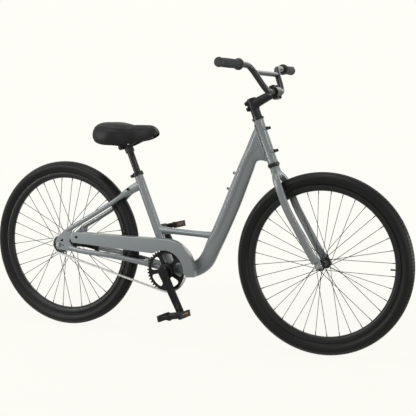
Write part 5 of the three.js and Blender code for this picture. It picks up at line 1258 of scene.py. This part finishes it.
def makeBrakeArm():
    eye, x, z = 12.0, 108, -20.5
    outline = [(-eye * 0.4, eye), (0, eye * 1.02), (eye, eye * 0.8), (30, 4), (x - 4, z + 7.5), (x, z + 5), (x, z - 5),
               (x - 4, z - 7.5), (22, -14), (0, -eye), (-8, -9.6), (-12.4, -4), (-12.6, 2), (-9.6, 8)]
    shape = addPlate(newShape(), outline, 46.3, 49.3, [circle(5.4, 24)], 0.5, Matrix.Translation(rearAxle))
    centre = rearAxle + vec(x, framePart["stayEnd"], z)
    return addLathe(shape, band(14, 15.6, -6.4, 6.4, 0.4), 36, axes(centre, yAxis, vec(1, 0, -0.2)))


finishPiece("coasterArm", makeBrakeArm(), "frame", "brake_arm", "blackPaint")

# Seat post, collar and the clamp under the saddle
seatPart = {"insertion": 150, "top": 508, "collarTop": 400, "collar": 21.5, "clampRise": 4, "clampBehind": 21}
tubeLength = framePart["seat"]["length"]


def makePost():
    low, top = tubeLength - seatPart["insertion"], seatPart["top"] + 0.3
    profile = [(0, low), (13, low), (13.6, low + 0.6), (13.6, top - 0.8), (12.8, top), (0, top)]
    return latheShape(seatFrame, (48, profile))


def makeCollar():
    top, low, r = seatPart["collarTop"], seatPart["collarTop"] - 15, seatPart["collar"]
    ring = [(17.8, low), (r - 0.8, low), (r, low + 0.8), (r, low + 10.4), (r - 1, low + 11.2), (r - 1, low + 12),
            (r - 0.2, low + 12.6), (r - 0.4, top - 0.5), (r - 1.2, top), (14.3, top), (14.3, tubeLength + 0.4),
            (17.8, tubeLength + 0.4)]
    shape = latheShape(seatFrame, (48, loopOf(ring)))
    for side in (-5, 5):
        addBlock(shape, vec(-r - 4.2, side, top - 7.5), (10, 7, 12.6), 1.8, seatFrame)
    return shape


def makeCollarBolt():
    ahead, up = -seatPart["collar"] - 4.2, seatPart["collarTop"] - 7.5
    left, right, end = (seatFrame @ vec(ahead, y, up) for y in (8.8, -8.8, -11.6))
    shape = newShape()
    addBolt(shape, left, yAxis, 5, 2.8, 2.8, 17.6, 2.5)
    return addRod(shape, right, end, 5, 6)


pivotLocal = vec(-seatPart["clampBehind"], 0, seatPart["top"] + seatPart["clampRise"])
pivot = seatFrame @ pivotLocal
saddlePlace = Matrix.Translation(pivot)


def makeClamp():
    top, low, end = seatPart["top"], seatPart["top"] - 25, 25.1
    ring = [(13.9, low), (17, low), (17.9, low + 0.9), (17.9, top - 1), (17, top - 0.1), (13.9, top - 0.1)]
    shape = latheShape(seatFrame, (40, loopOf(ring)))
    addLathe(shape, band(0, 9, -17.4, 17.4, 0.8), 28, wheelAxes(pivot))
    addBlock(shape, pivotLocal + vec(6.4, 0, -4.4), (12, 17, 12), 2, seatFrame)
    addRod(shape, pivot - yAxis * end, pivot + yAxis * end, 3.6, 16)
    for out in (-yAxis, yAxis):
        seat = pivot + out * end
        addLathe(shape, [(0, 0), (6.5, 0), (6.5, 4.2), (5.6, 5), (0, 5)], 6, along(seat, seat + out))
    return shape


saddlePart = {
    "length": 254, "width": 204, "height": 88, "back": 101, "rise": 9.5, "baseShare": 0.3, "count": 40,
    "seamAt": 0.52, "seamDepth": 1.5, "hemAt": 0.1, "hemDepth": 0.5, "railRadius": 3.5,
}
# Share of the length, then half width, top and foot
saddleShares = [
    (0, 0.31, 0.78, 0.3), (0.03, 0.39, 0.9, 0.2), (0.09, 0.455, 0.97, 0.1), (0.2, 0.49, 1, 0.02), (0.32, 0.5, 0.99, 0),
    (0.44, 0.43, 0.94, 0), (0.55, 0.3, 0.89, 0.035), (0.66, 0.215, 0.895, 0.15), (0.78, 0.18, 0.895, 0.215),
    (0.88, 0.16, 0.88, 0.31), (0.95, 0.13, 0.785, 0.41), (0.985, 0.09, 0.67, 0.465), (1, 0.045, 0.59, 0.51),
]
coverShares = [(0.86, 0), (0.97, 0.14), (1, 0.34), (0.95, 0.57), (0.82, 0.78), (0.58, 0.93), (0.28, 1), (0, 0.97)]


def saddleAt(share):  # place along, half width, foot and height, smoothly between the given stations
    last = len(saddleShares) - 1
    low = min(max(i for i, row in enumerate(saddleShares) if row[0] <= share + 1e-9), last - 1)
    rows = [saddleShares[max(0, min(last, low + k))] for k in (-1, 0, 1, 2)]
    gap = rows[2][0] - rows[1][0]
    t = (share - rows[1][0]) / gap
    out = []
    for c in (1, 2, 3):
        p, q = rows[1][c], rows[2][c]
        a, b = ((rows[i + 2][c] - rows[i][c]) / (rows[i + 2][0] - rows[i][0]) * gap for i in (0, 1))
        out.append(p * (2 * t ** 3 - 3 * t * t + 1) + a * (t ** 3 - 2 * t * t + t) + q * (3 * t * t - 2 * t ** 3)
                   + b * (t ** 3 - t * t))
    wide, top, low = out
    s = saddlePart
    return share * s["length"] - s["back"], wide * s["width"], s["rise"] + low * s["height"], (top - low) * s["height"]


def makeSaddleCover():
    s, count = saddlePart, saddlePart["count"]
    half = [vec(x, y, 0) for x, y in coverShares]
    section = [(*curvePoint(half, k / count).to_2d(), k / count) for k in range(count + 1)]
    section += [(-a, b, t) for a, b, t in section[-2::-1]]
    under = s["baseShare"]
    rings = []
    for share in (0.5 - 0.5 * cos(pi * k / 72) for k in range(73)):
        x, wide, foot, high = saddleAt(share)
        centre = vec(x, 0, foot + under * high)
        ring = []
        for a, b, t in section:
            dip = s["seamDepth"] * exp(-((t - s["seamAt"]) * count) ** 2)
            dip += s["hemDepth"] * exp(-((t - s["hemAt"]) * count / 1.1) ** 2)
            point = vec(x, a * wide, foot + b * high)
            ring.append(point - (point - centre).normalized() * dip)
        # The base edge is tucked under and the inside kept open for the shell below
        tuck = ((-0.8, 0.0), (-0.776, under), (-0.38, under), (0.38, under), (0.776, under), (0.8, 0.0))
        ring += [vec(x, a * wide, foot + b * high) for a, b in tuck]
        rings.append([saddlePlace @ p for p in ring])
    return addRings(newShape(), rings)


def underBase(x):
    _, _, foot, high = saddleAt((x + saddlePart["back"]) / saddlePart["length"])
    return foot + saddlePart["baseShare"] * high - 5.6 - saddlePart["railRadius"]


def makeBase():
    rings = []
    for x, wide, foot, high in (saddleAt(lerp(0.09, 0.95, k / 40)) for k in range(41)):
        upper, half = foot + saddlePart["baseShare"] * high - 0.5, wide * 0.76 - 3.2
        section = [(half - 1, upper), (half, upper - 1), (half, upper - 4), (half - 1, upper - 5)]
        section += [(-y, z) for y, z in section[::-1]]
        rings.append([saddlePlace @ vec(x, y, z) for y, z in section])
    return addRings(newShape(), rings)


def makeRails():
    rear, nose, side, height, radius = -saddlePart["length"] * 0.23, 127, 22, 9, saddlePart["railRadius"]
    half = [(rear, side * 1.35, underBase(rear)), (rear * 0.75, side * 1.12, height + 3.5), (rear * 0.4, side, height),
            (nose * 0.28, side, height), (nose * 0.55, side * 0.9, lerp(height, underBase(nose * 0.55), 0.8)),
            (nose * 0.8, side * 0.66, underBase(nose * 0.8) - 1.4), (nose, side * 0.2, underBase(nose))]
    path = [vec(x, -y, z) for x, y, z in half] + [vec(*point) for point in half[::-1]]
    shape = addRings(newShape(), sweepRings(path, 90, 14, vec(0, 0, 1), lambda w: (radius, radius), 2, saddlePlace))
    ring = band(4.2, 11, 17.8, 24.8, 0.8)
    for way in (-1, 1):
        addLathe(shape, [(r, way * y) for r, y in ring], 32, wheelAxes(pivot))
    return shape


finishPiece("postTube", makePost(), "seat", "seatpost", "postGloss")
finishPiece("collarRing", makeCollar(), "frame", "seat_collar", "glossBlackAlloy")
finishPiece("collarScrew", makeCollarBolt(), "frame", "seat_collar_bolt", "blackSteel")
finishPiece("railClamp", makeClamp(), "seat", "saddle_clamp", "blackSteel")
finishPiece("railWires", makeRails(), "seat", "saddle_rails", "blackSteel")
finishPiece("saddleShell", makeBase(), "seat", "saddle_base", "blackPlastic")
finishPiece("saddleSkin", makeSaddleCover(), "seat", "saddle_cover", "saddleVinyl", 60)
print("stage: seat")
